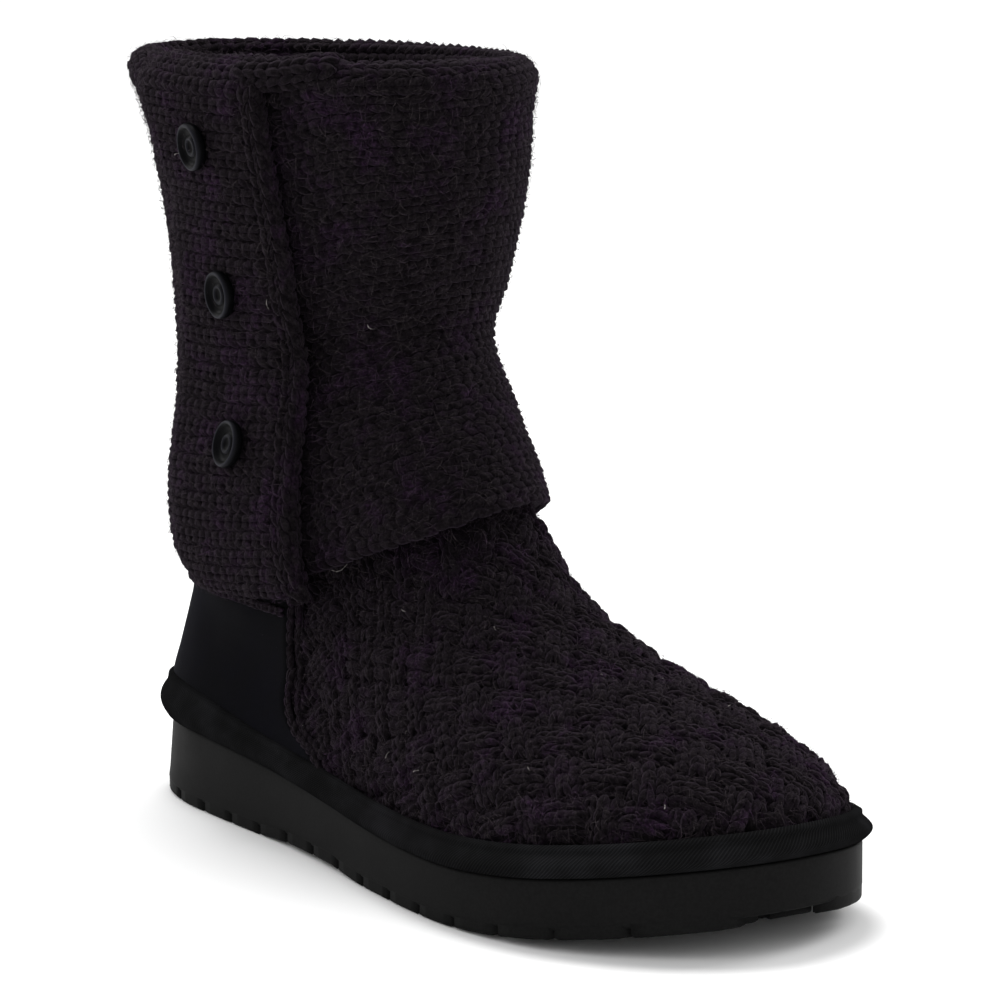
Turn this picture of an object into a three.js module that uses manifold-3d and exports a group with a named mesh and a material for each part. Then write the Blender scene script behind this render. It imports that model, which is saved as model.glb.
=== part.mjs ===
// A right ankle boot with a knitted upper and a knitted shaft folded down outside as a deep cuff,
// buttoned at the outer side, on a flat rubber sole edged with a rolled tape binding.
// Millimetres. +X points to the toe, +Y to the inner side of the foot, +Z up, and the floor is z = 0.
import * as THREE from "three";
import { mergeVertices } from "three/addons/utils/BufferGeometryUtils.js";
import Module from "manifold-3d";

const wasm = await Module();
wasm.setup();

// Driving dimensions
const soleLength = 268; // back of the heel to the tip of the toe
const ballWidth = 101; // across the widest part of the forefoot
const bootHeight = 213; // floor to the top of the knit under the fold
const heelSoleHeight = 23; // floor to the top of the sole at the heel
const ballSoleHeight = 16; // the same under the ball
const toeSpring = 9; // how far the tip of the sole lifts
const archRise = 1.2; // how far the tread lifts under the arch
const lugDepth = 2.6; // depth of the tread
const solePull = 1.6; // how far the top of the side wall leans in at the heel
const toeBend = 5; // how far the toe leans to the inner side
const upperWall = 4; // knit with its lining
const clearance = 0.3; // between pieces that touch
const bindingHeight = 11.5; // the rolled tape edge at the heel
const bindingFront = 7.4; // and from the arch to the toe
const bindingBulge = 2.6; // how far it stands out past the sole
const bindingLip = 3.2; // its thickness where it closes on the upper
const counterWall = 1.8; // suede heel counter
const counterReach = 92; // from the back of the sole to its front edge
const cuffThickness = 7.5; // doubled knit, where it is thickest
const cuffUnderlap = 46; // how far the front panel runs on under the flap
const flapDroop = 0.06; // how far the flap's hem hangs lower, as a share of the upper's sections
const frontDroop = 0.03; // the same for the front panel's hem
const hemRoom = 20; // how much further off the upper a hem stands for each whole share that it hangs
const shaftFullness = 0.85; // 1 for an oval shaft, less for one with flatter sides
const collarDip = 5; // how far the collar drops under the flap
const insoleThickness = 5;
const buttonRadius = 6.8;
const buttonHeight = 3.4;
const buttonLine = 66; // from the back of the sole to the top button
const buttonLean = 5; // how far each button is ahead of the one above it
const buttonDrop = 17; // from the collar down to the top button
const buttonPitch = 0.19 * bootHeight;
const buttonCount = 3;
const lugPitch = 16.5;
const lugGap = 3.4;

// How finely the forms are cut
const roundSegments = 52; // around every piece
const footSections = 10; // from the feather line to the height of the cuff's hem
const shaftSections = 8; // from there to the collar

const halfBall = ballWidth / 2;
const upperHeight = bootHeight - heelSoleHeight;

// Rows of numbers under the names of their columns
function table(keys, ...rows) {
  return rows.map((row) => Object.fromEntries(keys.map((key, i) => [key, row[i]])));
}

// Half widths of the sole, as shares of half the ball width, at shares of its length
const soleOutline = table(
  ["at", "lateral", "medial"],
  [0, 0, 0],
  [0.02, 0.386, 0.386],
  [0.06, 0.618, 0.618],
  [0.13, 0.752, 0.748],
  [0.22, 0.788, 0.77],
  [0.34, 0.808, 0.725],
  [0.46, 0.866, 0.74],
  [0.58, 0.965, 0.83],
  [0.68, 1.03, 0.95],
  [0.76, 1.036, 1.007],
  [0.84, 0.955, 1.01],
  [0.91, 0.752, 0.89],
  [0.96, 0.49, 0.65],
  [0.99, 0.235, 0.33],
  [1, 0, 0],
);

// Sections of the upper: from 0 at the feather line to 0.5 behind the cuff's hem and 1 at the collar.
// Rises are shares of upperHeight above the sole, back and front are shares of soleLength, lateral and
// medial scale the half widths, and round goes from the sole's outline, at 0, to an oval, at 1.
const upperTable = table(
  ["at", "riseBack", "riseFront", "back", "front", "lateral", "medial", "round"],
  [0, 0, 0, 0.021, 0.98, 0.89, 0.89, 0],
  [0.07, 0.03, 0.045, 0.012, 0.988, 0.93, 0.94, 0],
  [0.15, 0.065, 0.098, 0.01, 0.96, 0.9, 0.93, 0.04],
  [0.23, 0.1, 0.154, 0.012, 0.895, 0.83, 0.87, 0.12],
  [0.31, 0.135, 0.196, 0.015, 0.81, 0.77, 0.8, 0.28],
  [0.38, 0.165, 0.233, 0.018, 0.71, 0.72, 0.74, 0.5],
  [0.44, 0.195, 0.293, 0.022, 0.61, 0.68, 0.695, 0.75],
  [0.5, 0.225, 0.415, 0.022, 0.525, 0.66, 0.67, 0.92],
  [0.6, 0.355, 0.53, 0.014, 0.455, 0.64, 0.65, 1],
  [0.7, 0.505, 0.635, 0.023, 0.415, 0.6, 0.64, 1],
  [0.8, 0.665, 0.75, 0.02, 0.443, 0.64, 0.7, 1],
  [0.9, 0.83, 0.87, -0.002, 0.468, 0.7, 0.76, 1],
  [1, 0.992, 1, -0.05, 0.475, 0.78, 0.81, 1],
);
const hemPlace = 0.5;
const hemCurve = 2; // how late the sections rise towards the front

// The cuff from its hem, at 0, to its fold, at 1: its thickness as a share of cuffThickness, and how far
// the flap's edge is from the back as a share of soleLength
const cuffTable = table(
  ["at", "wall", "edge"],
  [0, 0.6, 0.36],
  [0.08, 0.93, 0.36],
  [0.2, 1, 0.356],
  [0.45, 0.8, 0.342],
  [0.7, 0.73, 0.342],
  [1, 0.73, 0.336],
);

// Small helpers
const range = (from, to, steps) => Array.from({ length: steps + 1 }, (_, i) => lerp(from, to, i / steps));
const lerp = THREE.MathUtils.lerp;
const smoothstep = THREE.MathUtils.smoothstep;
const vector = (x, y, z) => new THREE.Vector3(x, y, z);

// The value of one column of a table at a place between its rows, on a smooth curve through them.
function column(rows, key, at, place = (row) => row.at) {
  const last = rows.length - 1;
  let i = 0;
  while (i < last - 1 && at > place(rows[i + 1])) i += 1;
  const slope = (k) => {
    const a = Math.max(k - 1, 0);
    const b = Math.min(k + 1, last);
    return (rows[b][key] - rows[a][key]) / (place(rows[b]) - place(rows[a]));
  };
  const start = place(rows[i]);
  const span = place(rows[i + 1]) - start;
  const t = THREE.MathUtils.clamp((at - start) / span, 0, 1);
  const t2 = t * t;
  const t3 = t2 * t;
  return (
    (2 * t3 - 3 * t2 + 1) * rows[i][key] +
    (t3 - 2 * t2 + t) * span * slope(i) +
    (3 * t2 - 2 * t3) * rows[i + 1][key] +
    (t3 - t2) * span * slope(i + 1)
  );
}

// An angle round the boot: 0 at the back, a quarter turn at the outer side, a half turn at the front.
const share = (angle) => (1 - Math.cos(angle)) / 2; // of the way from the back to the front
const side = (angle) => (Math.sin(angle) >= 0 ? "lateral" : "medial");
const sign = (angle) => (Math.sin(angle) >= 0 ? -1 : 1);
const rowAngle = (row) => Math.acos(1 - 2 * row.at);

// The angle measured from the back, from 0 to pi, on either side.
function foldedAngle(angle) {
  return Math.acos(THREE.MathUtils.clamp(Math.cos(angle), -1, 1));
}

const outlineShare = (angle) => column(soleOutline, side(angle), foldedAngle(angle), rowAngle);

// How far the foot's middle line leans to the inner side at x.
function lean(x) {
  const past = Math.max(x / soleLength - 0.45, 0) / 0.55;
  return toeBend * past ** 1.5;
}

// Heights of the sole along its length
const spring = (x) => toeSpring * Math.max(x / soleLength - 0.7, 0) ** 1.8 / 0.3 ** 1.8;
const arch = (x) => {
  const u = x / soleLength;
  return archRise * smoothstep(u, 0.3, 0.38) * (1 - smoothstep(u, 0.46, 0.55));
};
const treadBottom = (x) => spring(x) + arch(x);
const soleBottom = (x) => treadBottom(x) + lugDepth;
const soleTop = (x) =>
  lerp(heelSoleHeight, ballSoleHeight, smoothstep(x / soleLength, 0.1, 0.68)) + spring(x);

// A point on the edge of the sole, moved out by offset, at height z(x).
function solePoint(angle, offset, z) {
  const point = (a) => {
    const x = soleLength * share(a);
    return vector(x, sign(a) * halfBall * outlineShare(a) + lean(x), 0);
  };
  const step = 0.02;
  const along = point(angle + step).sub(point(angle - step)).normalize();
  const p = point(angle).add(vector(along.y, -along.x, 0).multiplyScalar(offset));
  return p.setZ(z(p.x));
}

// A point on the outside of the upper. t goes from 0 at the feather line to 1 at the collar.
function upperPoint(t, angle) {
  const get = (key) => column(upperTable, key, t);
  const u = share(angle);
  const x = soleLength * lerp(get("back"), get("front"), u);
  const round = get("round");
  const oval = Math.abs(Math.sin(angle)) ** shaftFullness;
  const half = halfBall * get(side(angle)) * lerp(outlineShare(angle), oval, round);
  const base = lerp(soleTop(x), heelSoleHeight, round);
  const rise = upperHeight * lerp(get("riseBack"), get("riseFront"), u ** hemCurve);
  return vector(x, sign(angle) * half + lean(x) * (1 - round), base + clearance + rise - dip(t, angle, x));
}

// The collar drops on the outer side, where the flap lies over the end of the front panel.
function dip(t, angle, x) {
  if (side(angle) === "medial") return 0;
  const edge = soleLength * cuffTable[cuffTable.length - 1].edge;
  const behind = smoothstep(x, 0.06 * edge, 0.43 * edge);
  const ahead = smoothstep(x, 0.98 * edge, 1.3 * edge);
  return collarDip * behind * (1 - ahead) * smoothstep(t, 0.8, 1) * Math.sin(angle);
}

// The outward normal of a surface given by t and angle
function normalOf(surface, t, angle) {
  const dt = 0.004;
  const da = 0.02;
  const up = surface(Math.min(t + dt, 1), angle).sub(surface(Math.max(t - dt, 0), angle));
  const round = surface(t, angle + da).sub(surface(t, angle - da));
  return round.cross(up).normalize();
}

// The same point moved out by offset. At the feather line and the collar it moves level.
function upperOffset(t, angle, offset) {
  const n = normalOf(upperPoint, t, angle);
  n.z *= smoothstep(t, 0, 0.08) * (1 - smoothstep(t, 0.94, 1));
  return upperPoint(t, angle).add(n.normalize().multiplyScalar(offset));
}

// Where on the upper, from 0 to 1, its outside is at height z.
function sectionAt(angle, z) {
  let low = 0;
  let high = 1;
  for (let i = 0; i < 30; i += 1) {
    const mid = (low + high) / 2;
    if (upperPoint(mid, angle).z < z) low = mid;
    else high = mid;
  }
  return (low + high) / 2;
}

// Closed meshes
function meshOf(points, faces) {
  const numbers = points.flatMap((p) => [p.x, p.y, p.z]);
  const geometry = new THREE.BufferGeometry();
  geometry.setAttribute("position", new THREE.Float32BufferAttribute(numbers, 3));
  geometry.setIndex(faces.flat());
  return geometry;
}

// A wall from sections that each hold an outer and an inner row of points. It closes on itself, or has
// two ends.
function shell(sections, closed) {
  const n = sections[0].outer.length;
  const points = sections.flatMap((s) => [...s.outer, ...s.inner]);
  const outer = (i, j) => (i % sections.length) * 2 * n + j;
  const inner = (i, j) => outer(i, j) + n;
  const faces = [];
  const quad = (a, b, c, d) => faces.push([a, b, c], [a, c, d]);
  const spans = closed ? sections.length : sections.length - 1;
  for (let i = 0; i < spans; i += 1) {
    for (let j = 0; j < n - 1; j += 1) {
      quad(outer(i, j), outer(i + 1, j), outer(i + 1, j + 1), outer(i, j + 1));
      quad(inner(i, j), inner(i, j + 1), inner(i + 1, j + 1), inner(i + 1, j));
    }
    quad(outer(i, 0), inner(i, 0), inner(i + 1, 0), outer(i + 1, 0));
    quad(outer(i, n - 1), outer(i + 1, n - 1), inner(i + 1, n - 1), inner(i, n - 1));
  }
  if (!closed) {
    const end = sections.length - 1;
    for (let j = 0; j < n - 1; j += 1) {
      quad(outer(0, j), outer(0, j + 1), inner(0, j + 1), inner(0, j));
      quad(outer(end, j), inner(end, j), inner(end, j + 1), outer(end, j + 1));
    }
  }
  return meshOf(points, faces);
}

// A solid from outlines stacked from the bottom up, closed by strips from side to side.
function plate(outlines) {
  const n = outlines[0].length;
  const points = outlines.flat();
  const faces = [];
  for (let k = 0; k < outlines.length - 1; k += 1) {
    for (let i = 0; i < n; i += 1) {
      const a = k * n + i;
      const b = k * n + ((i + 1) % n);
      faces.push([a, b, b + n], [a, b + n, a + n]);
    }
  }
  const top = (outlines.length - 1) * n;
  for (let i = 0; i < n / 2; i += 1) {
    const far = (n - i) % n;
    const next = n - i - 1;
    for (const [base, up] of [[0, false], [top, true]]) {
      const strips = [];
      if (i > 0) strips.push([i, i + 1, far]);
      if (next !== i + 1) strips.push([i + 1, next, far]);
      for (const [a, b, c] of strips) {
        const face = up ? [a, b, c] : [a, c, b];
        faces.push(face.map((v) => base + v));
      }
    }
  }
  return meshOf(points, faces);
}

const turnStep = (2 * Math.PI) / roundSegments;
const ring = range(0, 2 * Math.PI - turnStep, roundSegments - 1);
const footRows = range(0, hemPlace, footSections);
const shaftRows = range(hemPlace, 1, shaftSections);
const upperRows = [...footRows, ...shaftRows.slice(1)];

// Joining and cutting
function solid(geometry) {
  const g = new THREE.BufferGeometry().setAttribute("position", geometry.getAttribute("position"));
  if (geometry.index) g.setIndex(geometry.index);
  const merged = mergeVertices(g, 1e-4);
  return new wasm.Manifold(
    new wasm.Mesh({
      numProp: 3,
      vertProperties: merged.attributes.position.array,
      triVerts: new Uint32Array(merged.index.array),
    }),
  );
}

function geometryOf(manifold) {
  const mesh = manifold.getMesh();
  const geometry = new THREE.BufferGeometry();
  geometry.setAttribute("position", new THREE.BufferAttribute(new Float32Array(mesh.vertProperties), 3));
  geometry.setIndex(new THREE.BufferAttribute(new Uint32Array(mesh.triVerts), 1));
  return geometry;
}

// The sole: a body with a flat top and a side wall, and lugs under it
function lug(x0, x1, sideSign, from, to) {
  const corner = (x, across) => {
    const angle = -sideSign * Math.acos(1 - (2 * x) / soleLength);
    const edge = solePoint(angle, 0, () => 0);
    return vector(x, lerp(lean(x), edge.y, across), 0);
  };
  const below = [corner(x0, from), corner(x1, from), corner(x1, to), corner(x0, to)];
  if (sideSign < 0) below.reverse();
  return plate([
    below.map((p) => p.clone().setZ(treadBottom(p.x))),
    below.map((p) => p.clone().setZ(soleBottom(p.x) + 1)),
  ]);
}

function outsole() {
  const wallLean = (angle) => solePull * (1 - share(angle));
  let body = solid(
    plate([
      ring.map((a) => solePoint(a, -0.6, soleBottom)),
      ring.map((a) => solePoint(a, 0, (x) => soleBottom(x) + 1)),
      ring.map((a) => solePoint(a, -wallLean(a), soleTop)),
    ]),
  );
  for (let x = lugGap; x < 0.93 * soleLength; x += lugPitch) {
    for (const s of [-1, 1]) {
      const next = x + lugPitch / 2;
      const end = Math.min(next + lugPitch - lugGap, 0.97 * soleLength);
      body = body.add(solid(lug(x, x + lugPitch - lugGap, s, 0.62, 0.985)));
      body = body.add(solid(lug(next, end, s, 0.08, 0.54)));
    }
  }
  return geometryOf(body);
}

// The hollow upper, open under the foot and at the collar
function upper() {
  const sections = ring.map((angle) => ({
    outer: upperRows.map((t) => upperPoint(t, angle)),
    inner: upperRows.map((t) => upperOffset(t, angle, -upperWall)),
  }));
  return shell(sections, true);
}

const bindingTop = (x) => lerp(bindingHeight, bindingFront, smoothstep(x / soleLength, 0.1, 0.36));

// The rolled tape edge: its inside lies on the upper and its outside bulges past the sole
function binding() {
  const steps = 6;
  const sections = ring.map((angle) => {
    const outer = [];
    const inner = [];
    for (let j = 0; j < steps; j += 1) {
      const h = j / (steps - 1);
      const foot = solePoint(angle, 0, soleTop);
      const z = foot.z + clearance + bindingTop(foot.x) * h;
      const t = sectionAt(angle, z);
      const onUpper = upperOffset(t, angle, clearance);
      inner.push(onUpper);
      const out = foot.clone().sub(onUpper).setZ(0);
      const reach = out.length();
      const bulge = bindingBulge * Math.sin(Math.PI * Math.min(h * 1.15 + 0.05, 1));
      const closing = lerp(reach, bindingLip, smoothstep(h, 0.35, 1.02));
      outer.push(onUpper.clone().add(out.normalize().multiplyScalar(closing + bulge)).setZ(z));
    }
    return { outer, inner };
  });
  return shell(sections, true);
}

// The upper's place, from 0 to 1, just above the binding
function overBinding(angle) {
  const x = soleLength * share(angle);
  return sectionAt(angle, soleTop(x) + bindingTop(x) + 3 * clearance);
}

// The angle on the outer side at which a line of points round the boot passes x.
function lateralAngle(x, pointAt) {
  let low = 0;
  let high = Math.PI;
  for (let i = 0; i < 30; i += 1) {
    const mid = (low + high) / 2;
    if (pointAt(mid).x < x) low = mid;
    else high = mid;
  }
  return (low + high) / 2;
}

const levelLine = (z) => (angle) => upperPoint(sectionAt(angle, z), angle);

// The nearest of the ring's angles
const snap = (angle) => Math.round(angle / turnStep) * turnStep;

// The cuff runs from under the flap round the front, the inner side and the back to the flap's edge
const onCuff = (key, t) => column(cuffTable, key, (t - hemPlace) / (1 - hemPlace));
const cuffWall = (t) => cuffThickness * onCuff("wall", t);
const passing = (x, t) => lateralAngle(x, (angle) => upperPoint(t, angle));
const edgeAngle = (t) => passing(soleLength * onCuff("edge", t), t) + 2 * Math.PI;
const cuffEnd = snap(edgeAngle(1));
const cuffStart = snap(passing(soleLength * cuffTable[0].edge - cuffUnderlap, 0.75));

// How far the hem hangs below hemPlace, on the front panel and on the flap
function droop(angle) {
  const front = frontDroop * (1 - smoothstep(angle, 2.5, 4.6));
  return front + flapDroop * smoothstep(angle, 2 * Math.PI + 0.7, cuffEnd);
}

// The suede heel counter, from the binding up to the hem
function heelCounter() {
  const reach = lateralAngle(counterReach, levelLine(heelSoleHeight + 0.16 * upperHeight));
  const inside = Math.ceil(reach / turnStep) - 1;
  const angles = [-reach, ...range(-inside * turnStep, inside * turnStep, 2 * inside), reach];
  const sections = angles.map((angle) => {
    const under = hemPlace - droop(angle + 2 * Math.PI) - 0.006;
    const places = range(overBinding(angle), under, 7);
    return {
      outer: places.map((t) => upperOffset(t, angle, clearance + counterWall)),
      inner: places.map((t) => upperOffset(t, angle, clearance)),
    };
  });
  return shell(sections, false);
}

// How far the inside of the cuff stands off the upper: the flap climbs over the end of the front panel.
function cuffStandOff(t, angle) {
  const over = cuffStart + 2 * Math.PI;
  const climb = smoothstep(angle, over - 0.42, over - 0.08);
  return clearance + climb * (cuffWall(Math.max(t, hemPlace)) + clearance);
}

// The outside of the cuff, with whole at 1, or its inside, at 0
function cuffPoint(t, angle, whole = 1) {
  const low = droop(angle) * ((1 - t) / (1 - hemPlace)) ** 3;
  const standOff = cuffStandOff(t, angle) + hemRoom * low;
  return upperOffset(t - low, angle, standOff + whole * cuffWall(t));
}

// Near the flap's edge the rows of points follow the edge.
function swayed(t, angle) {
  const near = smoothstep(angle, cuffEnd - 1.1, cuffEnd);
  return angle + near * (edgeAngle(t) - cuffEnd);
}

// One row of points of the cuff: up the shaft, over its top and in to its inside
function cuffRow(angle, whole) {
  const points = shaftRows.map((t) => cuffPoint(t, swayed(t, angle), whole));
  const out = normalOf(upperPoint, 1, angle).setZ(0).normalize();
  const top = upperPoint(1, angle);
  const reach = cuffStandOff(1, angle) + whole * cuffWall(1);
  const turned = (turn) => {
    const p = top.clone().addScaledVector(out, reach * Math.cos(turn));
    return p.setZ(top.z + reach * Math.sin(turn));
  };
  points.push(...[0.25, 0.5, 0.75, 1].map((k) => turned((k * Math.PI) / 2)));
  points.push(turned(Math.PI / 2).addScaledVector(out, -upperWall));
  return points;
}

function cuff() {
  const steps = Math.round((cuffEnd - cuffStart) / turnStep);
  const sections = range(cuffStart, cuffEnd, steps).map((angle) => ({
    outer: cuffRow(angle, 1),
    inner: cuffRow(angle, 0),
  }));
  return shell(sections, false);
}

// The footbed
function insole() {
  const edge = (angle, z) => {
    const p = upperOffset(0, angle, -upperWall - 2 * clearance);
    return p.setZ(soleTop(p.x) + z);
  };
  return plate([
    ring.map((a) => edge(a, clearance)),
    ring.map((a) => edge(a, clearance + insoleThickness)),
  ]);
}

// A round button with a raised rim and a sunk middle
function buttonShape() {
  const r = buttonRadius;
  const h = buttonHeight;
  const profile = [
    [0, 0],
    [0.86 * r, 0],
    [r, 0.3 * h],
    [r, 0.7 * h],
    [0.9 * r, h],
    [0.74 * r, h],
    [0.64 * r, 0.7 * h],
    [0.3 * r, 0.62 * h],
    [0, 0.62 * h],
  ].map(([x, y]) => new THREE.Vector2(x, y));
  return new THREE.LatheGeometry(profile, 16).rotateX(Math.PI / 2);
}

// How far the cuff stands out past the plane through p across n, within a button's radius of p
function swell(p, n, t, angle) {
  const reach = range(-1, 1, 8);
  const offCuff = (u, v) => cuffPoint(t + 0.06 * u, angle + 0.35 * v).sub(p);
  const around = reach.flatMap((u) => reach.map((v) => offCuff(u, v)));
  const across = (q) => q.clone().addScaledVector(n, -q.dot(n)).length();
  const near = around.filter((q) => across(q) < 1.15 * buttonRadius);
  return Math.max(...near.map((q) => q.dot(n)));
}

function buttonPlace(i) {
  const z = bootHeight - buttonDrop - i * buttonPitch;
  const angle = lateralAngle(buttonLine + i * buttonLean, levelLine(z)) + 2 * Math.PI;
  const t = sectionAt(angle, z);
  const normal = normalOf(cuffPoint, t, angle);
  const place = cuffPoint(t, angle);
  const position = place.clone().addScaledVector(normal, swell(place, normal, t, angle) + clearance);
  return { position, normal };
}

// Finishes
const finish = (color, roughness) => new THREE.MeshStandardMaterial({ color, roughness, metalness: 0 });
const knit = finish(0x1b181c, 0.95);
const suede = finish(0x14141a, 0.9);
const rubber = finish(0x1c1c1d, 0.6);
const tape = finish(0x222224, 0.85);
const fleece = finish(0x1f1d20, 1);
const plastic = finish(0x151517, 0.35);

const boot = new THREE.Group();
function add(name, geometry, material) {
  const mesh = new THREE.Mesh(geometry, material);
  mesh.name = name;
  boot.add(mesh);
  return mesh;
}

add("outsole", outsole(), rubber);
add("binding", binding(), tape);
add("upper", upper(), knit);
add("heel_counter", heelCounter(), suede);
add("cuff", cuff(), knit);
add("insole", insole(), fleece);
for (let i = 0; i < buttonCount; i += 1) {
  const { position, normal } = buttonPlace(i);
  const button = add(`button_${i + 1}`, buttonShape(), plastic);
  button.position.copy(position);
  button.quaternion.setFromUnitVectors(vector(0, 0, 1), normal);
}

// The origin is on the floor, under the middle of the boot's box.
boot.updateMatrixWorld(true);
const middle = new THREE.Box3().setFromObject(boot, true).getCenter(vector(0, 0, 0));
boot.position.set(-middle.x, -middle.y, 0);

export default boot;
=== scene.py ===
import math
import bmesh
import bpy
import numpy as np
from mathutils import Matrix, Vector
from mathutils.kdtree import KDTree


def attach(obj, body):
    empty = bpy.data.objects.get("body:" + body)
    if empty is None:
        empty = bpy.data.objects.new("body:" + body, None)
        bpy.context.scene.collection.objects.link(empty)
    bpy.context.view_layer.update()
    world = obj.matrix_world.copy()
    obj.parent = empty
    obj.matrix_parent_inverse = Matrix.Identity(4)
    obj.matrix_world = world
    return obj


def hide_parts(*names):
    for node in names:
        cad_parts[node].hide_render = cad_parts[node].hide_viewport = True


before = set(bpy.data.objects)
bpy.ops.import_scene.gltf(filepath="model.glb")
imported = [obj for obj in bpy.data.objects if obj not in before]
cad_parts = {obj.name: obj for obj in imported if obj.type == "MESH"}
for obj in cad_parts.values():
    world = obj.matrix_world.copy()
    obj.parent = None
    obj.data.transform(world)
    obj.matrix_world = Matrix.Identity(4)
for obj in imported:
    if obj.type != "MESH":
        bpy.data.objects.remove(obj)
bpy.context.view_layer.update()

# The boot's sizes in metres, as in its solids
SOLE_LENGTH = 0.268
HALF_BALL = 0.0505
BOOT_HEIGHT = 0.213
HEEL_SOLE = 0.023
BALL_SOLE = 0.016
TOE_SPRING = 0.009
ARCH_RISE = 0.0012
LUG_DEPTH = 0.0026
SOLE_PULL = 0.0016
TOE_BEND = 0.005
UPPER_WALL = 0.004
CLEARANCE = 0.0003
BINDING_HEIGHT = 0.0115
BINDING_FRONT = 0.0074
BINDING_BULGE = 0.0026
BINDING_LIP = 0.0032
CUFF_THICKNESS = 0.0075
CUFF_UNDERLAP = 0.046
FLAP_DROOP = 0.06
FRONT_DROOP = 0.03
HEM_ROOM = 0.008
SHAFT_FULLNESS = 0.85
COLLAR_DIP = 0.005
HEM = 0.5
HEM_CURVE = 2
RING = 2 * np.pi / 52
MIDDLE = np.array([0.1257114, 0.0013836, 0.0])
UPPER_HEIGHT = BOOT_HEIGHT - HEEL_SOLE


def table(keys, *rows):
    """Columns of numbers by name."""
    return dict(zip(keys.split(), np.array(rows, float).T))


SOLE_OUTLINE = table(
    "at lateral medial",
    (0, 0, 0), (0.02, 0.386, 0.386), (0.06, 0.618, 0.618), (0.13, 0.752, 0.748), (0.22, 0.788, 0.77),
    (0.34, 0.808, 0.725), (0.46, 0.866, 0.74), (0.58, 0.965, 0.83), (0.68, 1.03, 0.95),
    (0.76, 1.036, 1.007), (0.84, 0.955, 1.01), (0.91, 0.752, 0.89), (0.96, 0.49, 0.65),
    (0.99, 0.235, 0.33), (1, 0, 0),
)
UPPER_TABLE = table(
    "at rise_back rise_front back front lateral medial round",
    (0, 0, 0, 0.021, 0.98, 0.89, 0.89, 0),
    (0.07, 0.03, 0.045, 0.012, 0.988, 0.93, 0.94, 0),
    (0.15, 0.065, 0.098, 0.01, 0.96, 0.9, 0.93, 0.04),
    (0.23, 0.1, 0.154, 0.012, 0.895, 0.83, 0.87, 0.12),
    (0.31, 0.135, 0.196, 0.015, 0.81, 0.77, 0.8, 0.28),
    (0.38, 0.165, 0.233, 0.018, 0.71, 0.72, 0.74, 0.5),
    (0.44, 0.195, 0.293, 0.022, 0.61, 0.68, 0.695, 0.75),
    (0.5, 0.225, 0.415, 0.022, 0.525, 0.66, 0.67, 0.92),
    (0.6, 0.355, 0.53, 0.014, 0.455, 0.64, 0.65, 1),
    (0.7, 0.505, 0.635, 0.023, 0.415, 0.6, 0.64, 1),
    (0.8, 0.665, 0.75, 0.02, 0.443, 0.64, 0.7, 1),
    (0.9, 0.83, 0.87, -0.002, 0.468, 0.7, 0.76, 1),
    (1, 0.992, 1, -0.05, 0.475, 0.78, 0.81, 1),
)
CUFF_TABLE = table(
    "at wall edge",
    (0, 0.6, 0.36), (0.08, 0.93, 0.36), (0.2, 1, 0.356), (0.45, 0.8, 0.342),
    (0.7, 0.73, 0.342), (1, 0.73, 0.336),
)


def smooth(x, low, high):
    u = np.clip((x - low) / (high - low), 0, 1)
    return u * u * (3 - 2 * u)


def mix(a, b, u):
    return a + (b - a) * u


def column(rows, key, at, place=lambda at: at):
    """One column of a table at places between its rows, on a smooth curve through them."""
    places, values = place(rows["at"]), rows[key]
    low = np.maximum(np.arange(len(values)) - 1, 0)
    high = np.minimum(np.arange(len(values)) + 1, len(values) - 1)
    slopes = (values[high] - values[low]) / (places[high] - places[low])
    i = np.clip(np.searchsorted(places, at) - 1, 0, len(values) - 2)
    span = places[i + 1] - places[i]
    t = np.clip((at - places[i]) / span, 0, 1)
    t2, t3 = t * t, t * t * t
    start = (2 * t3 - 3 * t2 + 1) * values[i] + (t3 - 2 * t2 + t) * span * slopes[i]
    return start + (3 * t2 - 2 * t3) * values[i + 1] + (t3 - t2) * span * slopes[i + 1]


def two_sided(rows, angle, at, place=lambda at: at):
    """The outer side's column where the angle is on that side, else the inner side's."""
    outer = column(rows, "lateral", at, place)
    return np.where(np.sin(angle) >= 0, outer, column(rows, "medial", at, place))


def share(angle):
    return (1 - np.cos(angle)) / 2


def sign(angle):
    return np.where(np.sin(angle) >= 0, -1.0, 1.0)


def outline_share(angle):
    folded = np.arccos(np.clip(np.cos(angle), -1, 1))
    return two_sided(SOLE_OUTLINE, angle, folded, lambda at: np.arccos(1 - 2 * at))


def lean(x):
    return TOE_BEND * (np.maximum(x / SOLE_LENGTH - 0.45, 0) / 0.55) ** 1.5


def spring(x):
    return TOE_SPRING * np.maximum(x / SOLE_LENGTH - 0.7, 0) ** 1.8 / 0.3**1.8


def tread_bottom(x):
    u = x / SOLE_LENGTH
    return spring(x) + ARCH_RISE * smooth(u, 0.3, 0.38) * (1 - smooth(u, 0.46, 0.55))


def sole_bottom(x):
    return tread_bottom(x) + LUG_DEPTH


def sole_top(x):
    return mix(HEEL_SOLE, BALL_SOLE, smooth(x / SOLE_LENGTH, 0.1, 0.68)) + spring(x)


def unit(v):
    return v / np.maximum(np.linalg.norm(v, axis=-1, keepdims=True), 1e-12)


def spot(x, y, z):
    return np.stack(np.broadcast_arrays(x, y, z), axis=-1).astype(float)


def sole_point(angle, offset, height):
    """On the sole's edge, moved out by offset, at height(x)."""
    def edge(a):
        x = SOLE_LENGTH * share(a)
        return spot(x, sign(a) * HALF_BALL * outline_share(a) + lean(x), 0)
    along = unit(edge(angle + 0.02) - edge(angle - 0.02))
    offset = np.asarray(offset, float)[..., None]
    p = edge(angle) + offset * np.stack([along[..., 1], -along[..., 0], 0 * along[..., 0]], axis=-1)
    p[..., 2] = height(p[..., 0])
    return p


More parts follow.
